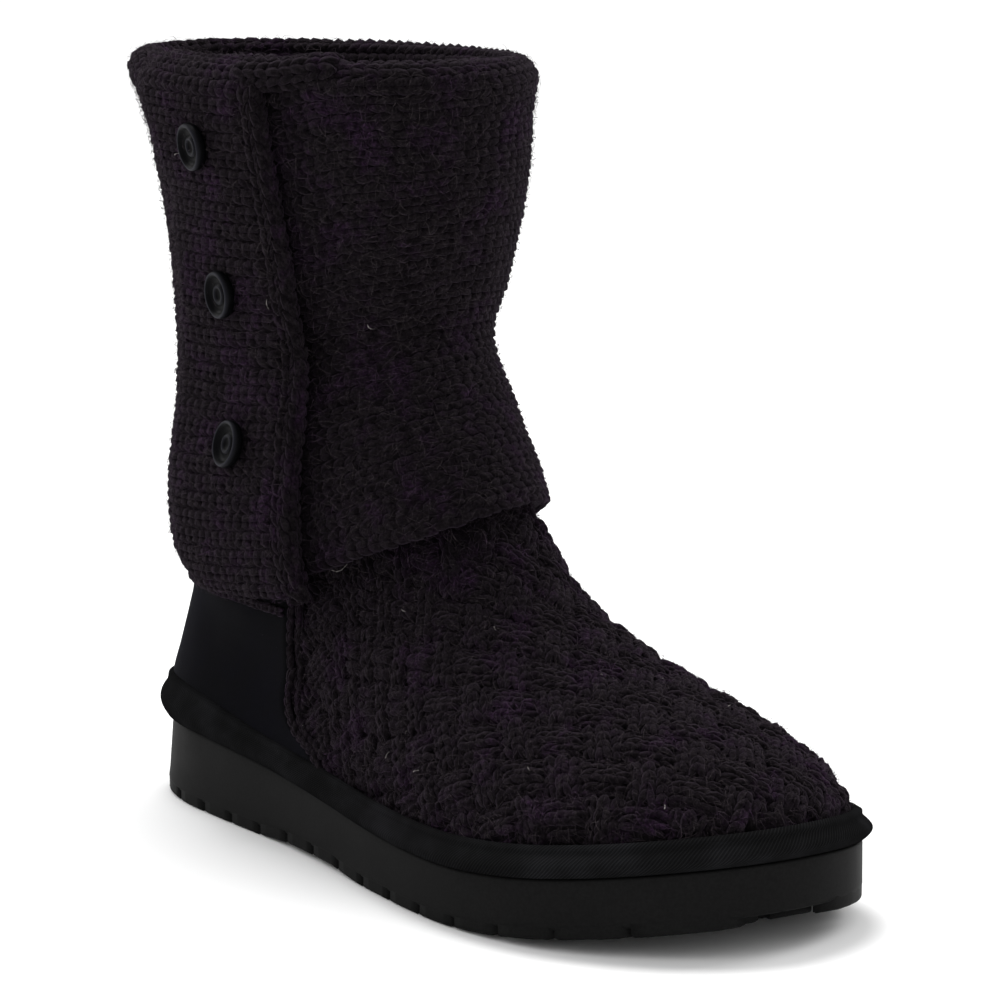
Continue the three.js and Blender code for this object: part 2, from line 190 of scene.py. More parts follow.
def dip(t, angle, x):
    edge = SOLE_LENGTH * CUFF_TABLE["edge"][-1]
    under = smooth(x, 0.06 * edge, 0.43 * edge) * (1 - smooth(x, 0.98 * edge, 1.3 * edge))
    return COLLAR_DIP * under * smooth(t, 0.8, 1) * np.maximum(np.sin(angle), 0)


def upper_point(t, angle):
    """On the upper: t from 0 at the feather line to 1 at the collar, angle from the back."""
    t, angle = np.broadcast_arrays(np.asarray(t, float), np.asarray(angle, float))
    def get(key):
        return column(UPPER_TABLE, key, t)
    u, rounded = share(angle), get("round")
    x = SOLE_LENGTH * mix(get("back"), get("front"), u)
    oval = np.abs(np.sin(angle)) ** SHAFT_FULLNESS
    half = HALF_BALL * two_sided(UPPER_TABLE, angle, t) * mix(outline_share(angle), oval, rounded)
    base = mix(sole_top(x), HEEL_SOLE, rounded)
    rise = UPPER_HEIGHT * mix(get("rise_back"), get("rise_front"), u**HEM_CURVE)
    return spot(x, sign(angle) * half + lean(x) * (1 - rounded), base + CLEARANCE + rise - dip(t, angle, x))


def normal_of(surface, t, angle):
    up = surface(np.minimum(t + 0.004, 1), angle) - surface(np.maximum(t - 0.004, 0), angle)
    return unit(np.cross(surface(t, angle + 0.02) - surface(t, angle - 0.02), up))


def upper_offset(t, angle, offset):
    t, angle = np.broadcast_arrays(np.asarray(t, float), np.asarray(angle, float))
    n = normal_of(upper_point, t, angle)
    n[..., 2] *= smooth(t, 0, 0.08) * (1 - smooth(t, 0.94, 1))
    return upper_point(t, angle) + unit(n) * np.asarray(offset, float)[..., None]


def section_at(angle, z, low=0.0, high=1.0):
    """Where on the upper, from 0 to 1, its outside is at height z."""
    low, high = low + 0 * angle, high + 0 * angle
    for _ in range(30):
        middle = (low + high) / 2
        below = upper_point(middle, angle)[..., 2] < z
        low, high = np.where(below, middle, low), np.where(below, high, middle)
    return (low + high) / 2


# Meshes from rows and columns of points

def material_slots(mesh, materials):
    for material in materials:
        mesh.materials.append(material)


def mesh_object(name, points, faces, materials, smooth_shade=True):
    mesh = bpy.data.meshes.new(name)
    mesh.from_pydata(points.reshape(-1, 3).tolist(), [], faces.tolist())
    material_slots(mesh, materials)
    if smooth_shade:
        mesh.polygons.foreach_set("use_smooth", [True] * len(mesh.polygons))
    mesh.update()
    piece = bpy.data.objects.new(name, mesh)
    bpy.context.scene.collection.objects.link(piece)
    return piece


def loft(name, grid, materials, ring=True, loop=True, flip=False):
    """Skin over grid[row, column]: columns run round the boot, rows run round each section."""
    rows, columns = grid.shape[:2]
    index = np.arange(rows * columns).reshape(rows, columns)
    r = np.arange(rows if loop else rows - 1)
    c = np.arange(columns if ring else columns - 1)
    r, c = np.meshgrid(r, c, indexing="ij")
    up, on = (r + 1) % rows, (c + 1) % columns
    faces = np.stack([index[r, c], index[r, on], index[up, on], index[up, c]], axis=-1).reshape(-1, 4)
    if flip:
        faces = faces[:, ::-1]
    piece = mesh_object(name, grid, faces, materials)
    steps = np.linalg.norm(np.diff(grid, axis=1, append=grid[:, :1]), axis=-1)
    along = np.concatenate([[0], np.cumsum(steps.mean(axis=0))])
    rises = np.linalg.norm(np.diff(grid, axis=0, append=grid[:1]), axis=-1)
    across = np.concatenate([[0], np.cumsum(rises.mean(axis=1))])
    u = np.stack([along[c], along[c + 1], along[c + 1], along[c]], axis=-1)
    v = np.stack([across[r], across[r], across[r + 1], across[r + 1]], axis=-1)
    if flip:
        u, v = u[..., ::-1], v[..., ::-1]
    layer = piece.data.uv_layers.new(name="cloth")
    layer.data.foreach_set("uv", np.stack([u, v], axis=-1).ravel())
    return piece


def place(points):
    """From the heel's origin to the frame's."""
    return points - MIDDLE


def finish_piece(piece, slot, *nodes):
    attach(piece, "root")
    if nodes:
        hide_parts(*nodes)


# Cuff: from under the flap round the front and the back to the flap's edge

def lateral_angle(x, point_at):
    """The angle on the outer side at which a line of points round the boot passes x."""
    low = np.zeros(np.shape(x))
    high = low + np.pi
    for _ in range(30):
        middle = (low + high) / 2
        short = point_at(middle)[..., 0] < x
        low, high = np.where(short, middle, low), np.where(short, high, middle)
    return (low + high) / 2


def on_cuff(key, t):
    return column(CUFF_TABLE, key, (t - HEM) / (1 - HEM))


def cuff_wall(t):
    return CUFF_THICKNESS * on_cuff("wall", t)


def edge_angle(t):
    return lateral_angle(SOLE_LENGTH * on_cuff("edge", t), lambda a: upper_point(t, a)) + 2 * np.pi


def snap(angle):
    return np.round(angle / RING) * RING


CUFF_END = float(snap(edge_angle(np.array(1.0))))
UNDERLAP_X = np.array(SOLE_LENGTH * CUFF_TABLE["edge"][0] - CUFF_UNDERLAP)
CUFF_START = float(snap(lateral_angle(UNDERLAP_X, lambda a: upper_point(0.75, a))))


def droop(angle):
    front = FRONT_DROOP * (1 - smooth(angle, 2.5, 4.6))
    return front + FLAP_DROOP * smooth(angle, 2 * np.pi + 0.7, CUFF_END)


def cuff_stand_off(t, angle):
    over = CUFF_START + 2 * np.pi
    return CLEARANCE + smooth(angle, over - 0.42, over - 0.08) * (cuff_wall(np.maximum(t, HEM)) + CLEARANCE)


def cuff_point(t, angle, whole=1.0):
    low = droop(angle) * ((1 - t) / (1 - HEM)) ** 3
    stand_off = cuff_stand_off(t, angle) + HEM_ROOM * low
    return upper_offset(t - low, angle, stand_off + whole * cuff_wall(t))


def swayed(t, angle):
    near = smooth(angle, CUFF_END - 1.1, CUFF_END)
    return angle + near * (edge_angle(t) - CUFF_END)


def cuff_section(angle, whole):
    """Rows of points from under the hem, up the cuff, over its fold and down inside the collar."""
    hem = HEM + 0.012
    a = swayed(np.full_like(angle, hem), angle)
    outer, inner, over = (cuff_point(np.full_like(a, t), a, w) for t,
                          w in ((hem, 1), (hem, 0), (hem + 0.01, 0.5)))
    middle, spread = (outer + inner) / 2, (outer - inner) / 2
    down = unit(middle - over) * np.linalg.norm(spread, axis=-1, keepdims=True)
    rows = []
    for turn in np.linspace(np.pi, 0, 9):
        rows.append(middle + (spread * math.cos(turn) + down * math.sin(turn)) * (2 * whole - 1))
    for t in np.linspace(hem, 1, 60)[1:]:
        at = np.full_like(angle, t)
        rows.append(cuff_point(at, swayed(at, angle), whole))
    out = normal_of(upper_point, np.ones_like(angle), angle) * [1, 1, 0]
    out = unit(out)
    top = upper_point(np.ones_like(angle), angle)
    reach = (cuff_stand_off(np.ones_like(angle), angle) + whole * cuff_wall(np.ones_like(angle)))[:, None]
    lift = np.array([0, 0, 1.0])
    for turn in np.linspace(0, np.pi / 2, 9)[1:]:
        rows.append(top + out * reach * math.cos(turn) + lift * reach * math.sin(turn))
    for turn in np.linspace(0, np.pi / 2, 9)[1:]:
        inward = out * UPPER_WALL * math.sin(turn) * (0.5 + 0.5 * whole)
        rows.append(top - inward + lift * reach * math.cos(turn))
    for t in np.linspace(1, 0.8, 14)[1:]:
        rows.append(upper_offset(np.full_like(angle, t), angle, -UPPER_WALL * (0.5 + 0.5 * whole)))
    return np.array(rows)


def evenly(face, count, *others):
    """The same rows spread evenly along each column of face, and the others spread with them."""
    lengths = np.linalg.norm(np.diff(face, axis=0), axis=-1)
    along = np.concatenate([np.zeros((1, face.shape[1])), np.cumsum(lengths, axis=0)])
    out = [np.empty((count,) + face.shape[1:]) for _ in range(1 + len(others))]
    for j in range(face.shape[1]):
        at = np.linspace(0, along[-1, j], count)
        for made, source in zip(out, (face,) + others):
            for k in range(3):
                made[:, j, k] = np.interp(at, along[:, j], source[:, j, k])
    return out if others else out[0]


def grid_normals(grid, ring=False):
    """Outward normals of a grid whose columns run towards the inner side and rows run up."""
    if ring:
        on = np.roll(grid, -1, axis=1) - np.roll(grid, 1, axis=1)
    else:
        on = np.gradient(grid, axis=1)
    return unit(np.cross(on, np.gradient(grid, axis=0)))


def ends_closed(face, core, radius):
    """Rounds both ends of a wall: its thickness shrinks to nothing over the last stretch of each row."""
    steps = np.linalg.norm(np.diff(core, axis=1), axis=-1).mean(axis=0)
    along = np.concatenate([[0], np.cumsum(steps)])
    near = np.minimum(np.minimum(along, along[-1] - along) / radius, 1)
    return core + (face - core) * np.sqrt(1 - (1 - near) ** 2)[None, :, None]


def trough(grid, x, z, length, width, tilt):
    """Depth, from 0 to 1, of a soft straight crease on the outer or inner side, in x and z."""
    dx, dz = grid[..., 0] - x, grid[..., 2] - z
    along = dx * math.cos(tilt) + dz * math.sin(tilt)
    across = dz * math.cos(tilt) - dx * math.sin(tilt)
    return np.exp(-((along / length) ** 2) - (across / width) ** 2)


CUFF_CREASES = (
    # side, x, z, half length, half width, tilt, depth
    (-1, 0.1, 0.142, 0.03, 0.006, 0.12, 0.0016),
    (-1, 0.115, 0.128, 0.02, 0.005, -0.25, 0.0012),
    (-1, 0.03, 0.186, 0.028, 0.006, -0.5, 0.0016),
    (-1, 0.075, 0.118, 0.03, 0.007, -0.45, 0.0012),
    (1, 0.06, 0.14, 0.045, 0.007, 0.1, 0.0018),
    (1, 0.09, 0.118, 0.03, 0.006, -0.2, 0.0014),
    (1, 0.03, 0.165, 0.03, 0.006, 0.3, 0.0012),
)


def creased(grid, normals, creases):
    depth = np.zeros(grid.shape[:2])
    for side, x, z, length, width, tilt, deep in creases:
        on_side = smooth(grid[..., 1] * side, -0.004, 0.008)
        depth += deep * on_side * trough(grid, x, z, length, width, tilt)
    return grid - normals * depth[..., None]


def cuff_columns():
    body = np.linspace(CUFF_START, CUFF_END - 0.12, 330)
    return np.concatenate([body[:-1], np.linspace(CUFF_END - 0.12, CUFF_END, 22)])


def cuff_surface():
    """The cuff's face from under the hem to inside the collar, and its core, about the heel's origin."""
    angles = cuff_columns()
    face, core = (cuff_section(angles, whole) for whole in (1.0, 0.5))
    face, core = evenly(face, CUFF_ROWS, core)
    normals = grid_normals(face)
    sink = CUFF_SINK * (1 - 0.8 * smooth(face[..., 2], 0.205, 0.214))
    face = creased(face - normals * sink[..., None], normals, CUFF_CREASES)
    return face, core, angles


CUFF_ROWS = 150
CUFF_SINK = 0.0011


def make_cuff(knit):
    face, core, angles = cuff_surface()
    inside = [upper_offset(np.full_like(angles, t), angles, offset) for t,
              offset in ((0.8, -0.0037), (0.97, -0.0037))]
    inside += [cuff_point(np.full_like(angles, t), swayed(np.full_like(angles, t), angles), 0.0)
               for t in (0.985, 0.9, 0.8, 0.7, 0.6, 0.53)]
    inner_core = [core[-1], core[-20]] + [core[k] for k in (100, 80, 60, 40, 20, 6)]
    face = ends_closed(np.concatenate([face, inside]), np.concatenate([core, inner_core]), 0.0035)
    return loft("cuff_knit", place(face), [knit], ring=False)


# Foot: knit from the feather line to under the cuff

def foot_cloth(points):
    """Where points lie on the foot's cloth laid flat: along from the ankle, across from the ridge."""
    t = np.linspace(0, 0.62, 400)
    ridge = upper_point(t, np.full_like(t, np.pi))[::-1]
    run = np.concatenate([[0], np.cumsum(np.linalg.norm(np.diff(ridge, axis=0), axis=-1))])
    x, y, z = points[..., 0], points[..., 1] - lean(points[..., 0]), points[..., 2]
    fall = np.maximum(np.interp(x, ridge[:, 0], ridge[:, 2]) - z, 0)
    ahead = np.clip((x - 0.2) / 0.068, 0, 1) ** 2
    side_fall = fall * (1 - ahead)
    across = np.sign(y) * (np.abs(y) ** 1.5 + side_fall**1.5) ** (1 / 1.5)
    behind = np.minimum(x - ridge[0, 0], 0)
    return np.interp(x, ridge[:, 0], run) + behind + fall * ahead, across


def lattice(along, across):
    """Height of the woven bands, from 0 to 1, with how far each point lies on a band of the first family."""
    tilt = math.radians(LATTICE_TILT)
    first = (across * math.cos(tilt) + along * math.sin(tilt)) / BAND_PITCH
    second = (across * math.cos(tilt) - along * math.sin(tilt)) / BAND_PITCH
    a, b = np.sin(np.pi * first), np.sin(np.pi * second)
    over = 0.5 + 0.5 * np.tanh(5 * a * b)
    height = over * np.abs(a) ** 0.7 + (1 - over) * np.abs(b) ** 0.7
    return height, over


LATTICE_TILT = 35
BAND_PITCH = 0.0125
BAND_HEIGHT = 0.0025
KNIT_SINK = 0.0011


def foot_surface(t, angle):
    """The foot's knit with its bands standing out of it."""
    p = upper_point(t, angle)
    n = normal_of(upper_point, t, angle)
    height, _ = lattice(*foot_cloth(p))
    calm = smooth(t, 0.03, 0.07)
    return p + n * ((height - 0.6) * BAND_HEIGHT * calm - KNIT_SINK)[..., None]


def make_foot(knit):
    rows, angles = np.linspace(0.02, 0.57, 130), np.linspace(0, 2 * np.pi, 401)[:-1]
    t, a = np.meshgrid(rows, angles, indexing="ij")
    face = foot_surface(t, a)
    shaft = [upper_point(np.full_like(angles, k), angles) for k in (0.65, 0.8, 0.95)]
    inside = [upper_offset(np.full_like(angles, k), angles, -0.0024) for k in np.linspace(0.95, 0.02, 24)]
    return loft("upper_knit", place(np.concatenate([face, shaft, inside])), [knit])


def make_lining(fleece):
    rows, angles = np.linspace(0.0, 0.965, 46), np.linspace(0, 2 * np.pi, 193)[:-1]
    inner = [upper_offset(np.full_like(angles, k), angles, -UPPER_WALL - 0.0001) for k in rows[::-1]]
    outer = [upper_offset(np.full_like(angles, k), angles, -0.0027) for k in np.linspace(0, 0.965, 24)]
    return loft("lining", place(np.array(outer + inner)), [fleece])


def make_insole(fleece):
    angles = np.linspace(0, 2 * np.pi, 161)[:-1]
    edge = upper_offset(np.zeros_like(angles), angles, -UPPER_WALL - 2 * CLEARANCE)
    floor = sole_top(edge[:, 0])
    middle = spot(edge[:, 0], lean(edge[:, 0]), floor)
    rows = []
    for inward, height in ((0.5, 0.0003), (0.04, 0.0003), (0.0, 0.001), (0.0, 0.0045), (0.02, 0.0053),
                           (0.5, 0.0052)):
        p = mix(edge, middle, inward)
        p[:, 2] = sole_top(p[:, 0]) + height
        rows.append(p)
    for inward, height in ((0.85, 0.0052), (1.0, 0.0052)):
        p = mix(edge, middle, inward)
        p[:, 2] = sole_top(p[:, 0]) + height
        rows.append(p)
    bottom = middle.copy()
    bottom[:, 2] = floor + 0.0003
    piece = loft("insole_fleece", place(np.array([bottom] + rows)), [fleece], loop=False)
    merge_doubles(piece)
    return piece


def merge_doubles(piece, distance=1e-5):
    mesh = bmesh.new()
    mesh.from_mesh(piece.data)
    bmesh.ops.remove_doubles(mesh, verts=mesh.verts, dist=distance)
    bmesh.ops.dissolve_degenerate(mesh, dist=distance, edges=mesh.edges)
    mesh.to_mesh(piece.data)
    mesh.free()


# Heel counter of suede with its seam

COUNTER_SEAM = table("at angle", (0.0, 1.5), (0.114, 1.421), (0.148, 1.348), (0.215, 1.322), (0.3, 1.4),
                     (0.381, 1.521),
                     (0.45, 1.7), (0.6, 2.05))


def seam_angle(t):
    return column(COUNTER_SEAM, "angle", t)


def make_counter(suede):
    rows = np.linspace(0.03, 0.515, 60)
    turns = np.linspace(-1, 1, 161)
    t, s = np.meshgrid(rows, turns, indexing="ij")
    angle = s * seam_angle(t)
    outer = upper_offset(t, angle, CLEARANCE + 0.0018)
    core = upper_offset(t, angle, CLEARANCE + 0.0009)
    inner = upper_offset(t, angle, CLEARANCE)
    face = np.concatenate([outer, inner[::-1]])
    core = np.concatenate([core, core[::-1]])
    return loft("counter_suede", place(ends_closed(face, core, 0.0011)), [suede], ring=False)


# Rolled tape edge and sole

def binding_top(x):
    return mix(BINDING_HEIGHT, BINDING_FRONT, smooth(x / SOLE_LENGTH, 0.1, 0.36))


def make_binding(tape):
    angles = np.linspace(0, 2 * np.pi, 721)[:-1]
    rise = np.linspace(0, 1, 15)
    outer, inner = [], []
    foot = sole_point(angles, 0.0, sole_top)
    for h in rise:
        z = foot[:, 2] + CLEARANCE + binding_top(foot[:, 0]) * h
        t = section_at(angle=angles, z=z)
        on_upper = upper_offset(t, angles, CLEARANCE)
        out = (foot - on_upper) * [1, 1, 0]
        reach = np.linalg.norm(out, axis=-1)
        bulge = BINDING_BULGE * np.sin(np.pi * np.minimum(h * 1.15 + 0.05, 1))
        closing = mix(reach, BINDING_LIP, smooth(h, 0.35, 1.02))
        p = on_upper + unit(out) * (closing + bulge)[:, None]
        p[:, 2] = z
        outer.append(p)
        inner.append(on_upper)
    lip = (outer[-1] + inner[-1]) / 2
    lip[:, 2] += 0.0009
    grid = np.array(outer + [lip] + inner[::-2])
    return loft("binding_tape", place(grid), [tape])


def make_sole(rubber):
    angles = np.linspace(0, 2 * np.pi, 721)[:-1]
    x = SOLE_LENGTH * share(angles)
    pull = -SOLE_PULL * (1 - share(angles))
    rows = []
    profile = ((-0.0035, 0.0, -0.0002), (-0.0009, 0.0, 0.0), (-0.0002, 0.0005, 0.0), (0.0, 0.0016, 0.0))
    for inset, lift, _ in profile:
        p = sole_point(angles, inset, sole_bottom)
        p[:, 2] += lift
        rows.append(p)
    for h in np.linspace(0.2, 0.93, 8):
        p = sole_point(angles, pull * h, sole_top)
        low = sole_bottom(x)
        p[:, 2] = mix(low, p[:, 2], h)
        rows.append(p)
    for inset, drop in ((0.0001, 0.0004), (0.0009, 0.0), (0.004, 0.0)):
        p = sole_point(angles, pull - inset, sole_top)
        p[:, 2] -= drop
        rows.append(p)
    centre = spot(x, lean(x), 0)
    top, bottom = centre.copy(), centre.copy()
    top[:, 2], bottom[:, 2] = sole_top(x), sole_bottom(x)
    piece = loft("outsole_rubber", place(np.array([bottom] + rows + [top])), [rubber], loop=False)
    merge_doubles(piece)
    return piece


def make_lugs(rubber):
    """Blocks of the tread: a row at each side and a row inside it."""
    points, faces = [], []
    for x0 in np.arange(LUG_GAP, 0.93 * SOLE_LENGTH, LUG_PITCH):
        for s in (-1, 1):
            inner = x0 + LUG_PITCH / 2
            end = min(inner + LUG_PITCH - LUG_GAP, 0.97 * SOLE_LENGTH)
            for start, stop, near, far in ((x0, x0 + LUG_PITCH - LUG_GAP, 0.62, 0.997),
                                           (inner, end, 0.08, 0.54)):
                add_lug(points, faces, start, stop, s, near, far)
    piece = mesh_object("tread_lugs", place(np.array(points)), np.array(faces), [rubber])
    return piece


def add_lug(points, faces, start, stop, s, near, far):
    """One block with its lower edges rounded over."""
    levels = ((0.0, 0.0012, 1.0), (0.0, 0.0, 0.55), (0.0, 0.0, 0.25), (0.0005, 0.0, 0.05), (0.0012, 0.0, 0.0))
    base = len(points)
    for inset, lift, h in levels:
        low, high = start + inset, stop - inset
        xs = np.concatenate([np.linspace(low, high, 5), np.linspace(high, low, 5)])
        widths = np.array([near] * 5 + [far] * 5)
        angle = -s * np.arccos(1 - 2 * xs / SOLE_LENGTH)
        edge = sole_point(angle, 0.0, tread_bottom)[:, 1]
        y = mix(lean(xs), edge, widths)
        y += np.where(widths == near, 1, -1) * inset * s
        z = mix(tread_bottom(xs), sole_bottom(xs), h) + lift
        ring = spot(xs, y, z)
        points.extend(ring if s > 0 else ring[::-1])
    for level in range(4):
        for i in range(10):
            a, b = base + level * 10 + i, base + level * 10 + (i + 1) % 10
            faces.append((a, a + 10, b + 10, b))
    last = base + 40
    for i in range(4):
        faces.append((last + i, last + 9 - i, last + 8 - i, last + i + 1))


LUG_PITCH = 0.0165
LUG_GAP = 0.0017


BUTTON_PROFILE = (
    # share of the radius, height in metres
    (0.0, 0.0), (0.84, 0.0), (0.93, 0.0004), (1.0, 0.0013), (1.0, 0.0022), (0.96, 0.0031),
    (0.9, 0.0034), (0.83, 0.0032),
    (0.77, 0.0025), (0.7, 0.0020), (0.5, 0.0018), (0.44, 0.0020), (0.38, 0.0025), (0.31, 0.0025),
    (0.25, 0.0020), (0.12, 0.0017), (0.0, 0.0017),
)
BUTTON_TURN = 0.14
BUTTON_RADIUS = 0.0068


def make_button(name, node_name, plastic):
    """A turned button with a rolled rim and a small ring round its sunk middle, where the solid one sits."""
    solid = bpy.data.objects[node_name]
    corners = np.array([solid.matrix_world @ v.co for v in solid.data.vertices])
    middle = (corners.max(axis=0) + corners.min(axis=0)) / 2
    axis = np.linalg.svd(corners - corners.mean(axis=0))[2][2]
    axis = axis * (-1 if axis[1] > 0 else 1)
    c, s = math.cos(BUTTON_TURN), math.sin(BUTTON_TURN)
    axis = np.array([c * axis[0] + s * axis[1], c * axis[1] - s * axis[0], axis[2]])
    base = middle + axis * ((corners - middle) @ axis).min()
    across = unit(np.cross(axis, [0, 0, 1.0]))
    upward = np.cross(across, axis)
    turns = np.linspace(0, 2 * np.pi, 49)[:-1]
    ring = np.cos(turns)[:, None] * across + np.sin(turns)[:, None] * upward
    rows = [base + axis * height + ring * BUTTON_RADIUS * reach for reach, height in BUTTON_PROFILE]
    piece = loft(name, np.array(rows), [plastic], loop=False)
    merge_doubles(piece)
    spots = np.array([v.co for v in piece.data.vertices])
    raised = (spots - np.array(base)) @ axis
    reach = np.linalg.norm(spots - base - raised[:, None] * axis, axis=1) / BUTTON_RADIUS
    # painted highlight: a lighter colour on the rim's crest and, at half strength, on the small ring
    painted_highlight = smooth(reach, 0.86, 0.9) * (1 - smooth(reach, 0.93, 0.98)) * smooth(raised, 0.002, 0.003)
    painted_highlight = np.maximum(painted_highlight,
                       0.5 * smooth(reach, 0.28, 0.31) * (1 - smooth(reach, 0.38, 0.42)) * (raised > 0.0018))
    piece.data.attributes.new("painted_highlight", "FLOAT", "POINT").data.foreach_set("value", painted_highlight.astype(np.float32))
    return piece


# Materials

def shader_group(name, inputs, outputs):
    tree = bpy.data.node_groups.new(name, "ShaderNodeTree")
    for kind, label, value in inputs:
        socket = tree.interface.new_socket(name=label, in_out="INPUT", socket_type=kind)
        socket.default_value = value
    for kind, label in outputs:
        tree.interface.new_socket(name=label, in_out="OUTPUT", socket_type=kind)
    return tree, tree.nodes.new("NodeGroupInput"), tree.nodes.new("NodeGroupOutput")


def node(tree, kind, links=(), **values):
    """A node with its own settings, and its inputs set or linked by name or number."""
    made = tree.nodes.new(kind)
    for key, value in values.items():
        setattr(made, key, value)
    for key, value in dict(links).items():
        if isinstance(value, bpy.types.NodeSocket):
            tree.links.new(value, made.inputs[key])
        else:
            made.inputs[key].default_value = value
    return made


def noise(tree, vector, scale, detail=3.0, rough=0.55):
    made = node(tree, "ShaderNodeTexNoise",
                {"Vector": vector, "Scale": scale, "Detail": detail, "Roughness": rough})
    return made.outputs["Fac"]


def band(tree, value, low, high, to_low=0.0, to_high=1.0):
    """The value's place between low and high, as a value from to_low to to_high."""
    links = {"Value": value, "From Min": low, "From Max": high, "To Min": to_low, "To Max": to_high}
    return node(tree, "ShaderNodeMapRange", links, interpolation_type="SMOOTHSTEP").outputs["Result"]


def blend(tree, factor, a, b, kind="MIX"):
    made = node(tree, "ShaderNodeMix", data_type="RGBA", blend_type=kind)
    for socket, value in ((made.inputs[0], factor), (made.inputs[6], a), (made.inputs[7], b)):
        if isinstance(value, bpy.types.NodeSocket):
            tree.links.new(value, socket)
        else:
            socket.default_value = value
    return made.outputs[2]


def maths(tree, operation, a, b=0.0):
    return node(tree, "ShaderNodeMath", {0: a, 1: b}, operation=operation).outputs[0]


def wool_group():
    """Marled wool: dark yarn with patches of a second dye, mottled along the fibres."""
    tree, inside, out = shader_group(
        "marled_wool",
        (("NodeSocketVector", "Place", (0, 0, 0)), ("NodeSocketColor", "Yarn", (0.01, 0.01, 0.01, 1)),
         ("NodeSocketColor", "Second dye", (0.02, 0.01, 0.02, 1)), ("NodeSocketFloat", "Patch size", 0.013),
         ("NodeSocketFloat", "Patch share", 0.3), ("NodeSocketFloat", "Fibre size", 0.0007)),
        (("NodeSocketColor", "Color"), ("NodeSocketFloat", "Roughness"), ("NodeSocketFloat", "Height")),
    )
    spots = noise(tree, inside.outputs["Place"], maths(tree, "DIVIDE", 1.0, inside.outputs["Patch size"]),
                  4.0, 0.65)
    edge = maths(tree, "SUBTRACT", 0.72, maths(tree, "MULTIPLY", inside.outputs["Patch share"], 0.5))
    patch = band(tree, spots, maths(tree, "SUBTRACT", edge, 0.09), maths(tree, "ADD", edge, 0.09))
    flecks = band(tree, noise(tree, inside.outputs["Place"], 900.0, 2.0, 0.6), 0.38, 0.62, 0.35, 1.0)
    patch = maths(tree, "MULTIPLY", patch, flecks)
    dyed = blend(tree, patch, inside.outputs["Yarn"], inside.outputs["Second dye"])
    fibre = noise(tree, inside.outputs["Place"], maths(tree, "DIVIDE", 1.0, inside.outputs["Fibre size"]),
                  4.0, 0.6)
    strands = noise(tree, inside.outputs["Place"], 420.0, 3.0, 0.6)
    light = band(tree, fibre, 0.3, 0.75, 0.4, 1.95)
    light = maths(tree, "MULTIPLY", light, band(tree, strands, 0.3, 0.7, 0.5, 1.55))
    shade = node(tree, "ShaderNodeCombineColor", {"Red": light, "Green": light, "Blue": light}).outputs[0]
    tree.links.new(blend(tree, 1.0, dyed, shade, "MULTIPLY"), out.inputs["Color"])
    tree.links.new(band(tree, fibre, 0.2, 0.8, 0.85, 1.0), out.inputs["Roughness"])
    tree.links.new(maths(tree, "ADD", fibre, maths(tree, "MULTIPLY", strands, 0.5)), out.inputs["Height"])
    return tree


def grain_group():
    """Fine grain of leather, rubber or plastic, with soft wear over larger spots."""
    tree, inside, out = shader_group(
        "fine_grain",
        (("NodeSocketVector", "Place", (0, 0, 0)), ("NodeSocketColor", "Ground", (0.01, 0.01, 0.01, 1)),
         ("NodeSocketColor", "Worn", (0.02, 0.02, 0.02, 1)), ("NodeSocketFloat", "Grain size", 0.0006),
         ("NodeSocketFloat", "Spot size", 0.03), ("NodeSocketFloat", "Wear", 0.5),
         ("NodeSocketFloat", "Smooth", 0.5), ("NodeSocketFloat", "Rough", 0.7)),
        (("NodeSocketColor", "Color"), ("NodeSocketFloat", "Roughness"), ("NodeSocketFloat", "Height")),
    )
    grain = noise(tree, inside.outputs["Place"], maths(tree, "DIVIDE", 1.0, inside.outputs["Grain size"]),
                  3.0, 0.6)
    spots = noise(tree, inside.outputs["Place"], maths(tree, "DIVIDE", 1.0, inside.outputs["Spot size"]),
                  4.0, 0.6)
    worn = maths(tree, "MULTIPLY", band(tree, spots, 0.42, 0.68), inside.outputs["Wear"])
    color = blend(tree, worn, inside.outputs["Ground"], inside.outputs["Worn"])
    light = band(tree, grain, 0.3, 0.7, 0.85, 1.15)
    shade = node(tree, "ShaderNodeCombineColor", {"Red": light, "Green": light, "Blue": light}).outputs[0]
    tree.links.new(blend(tree, 1.0, color, shade, "MULTIPLY"), out.inputs["Color"])
    rough = node(tree, "ShaderNodeMapRange", {"Value": spots, "From Min": 0.3, "From Max": 0.7,
                                              "To Min": inside.outputs["Smooth"],
                                              "To Max": inside.outputs["Rough"]})
    tree.links.new(rough.outputs["Result"], out.inputs["Roughness"])
    tree.links.new(grain, out.inputs["Height"])
    return tree


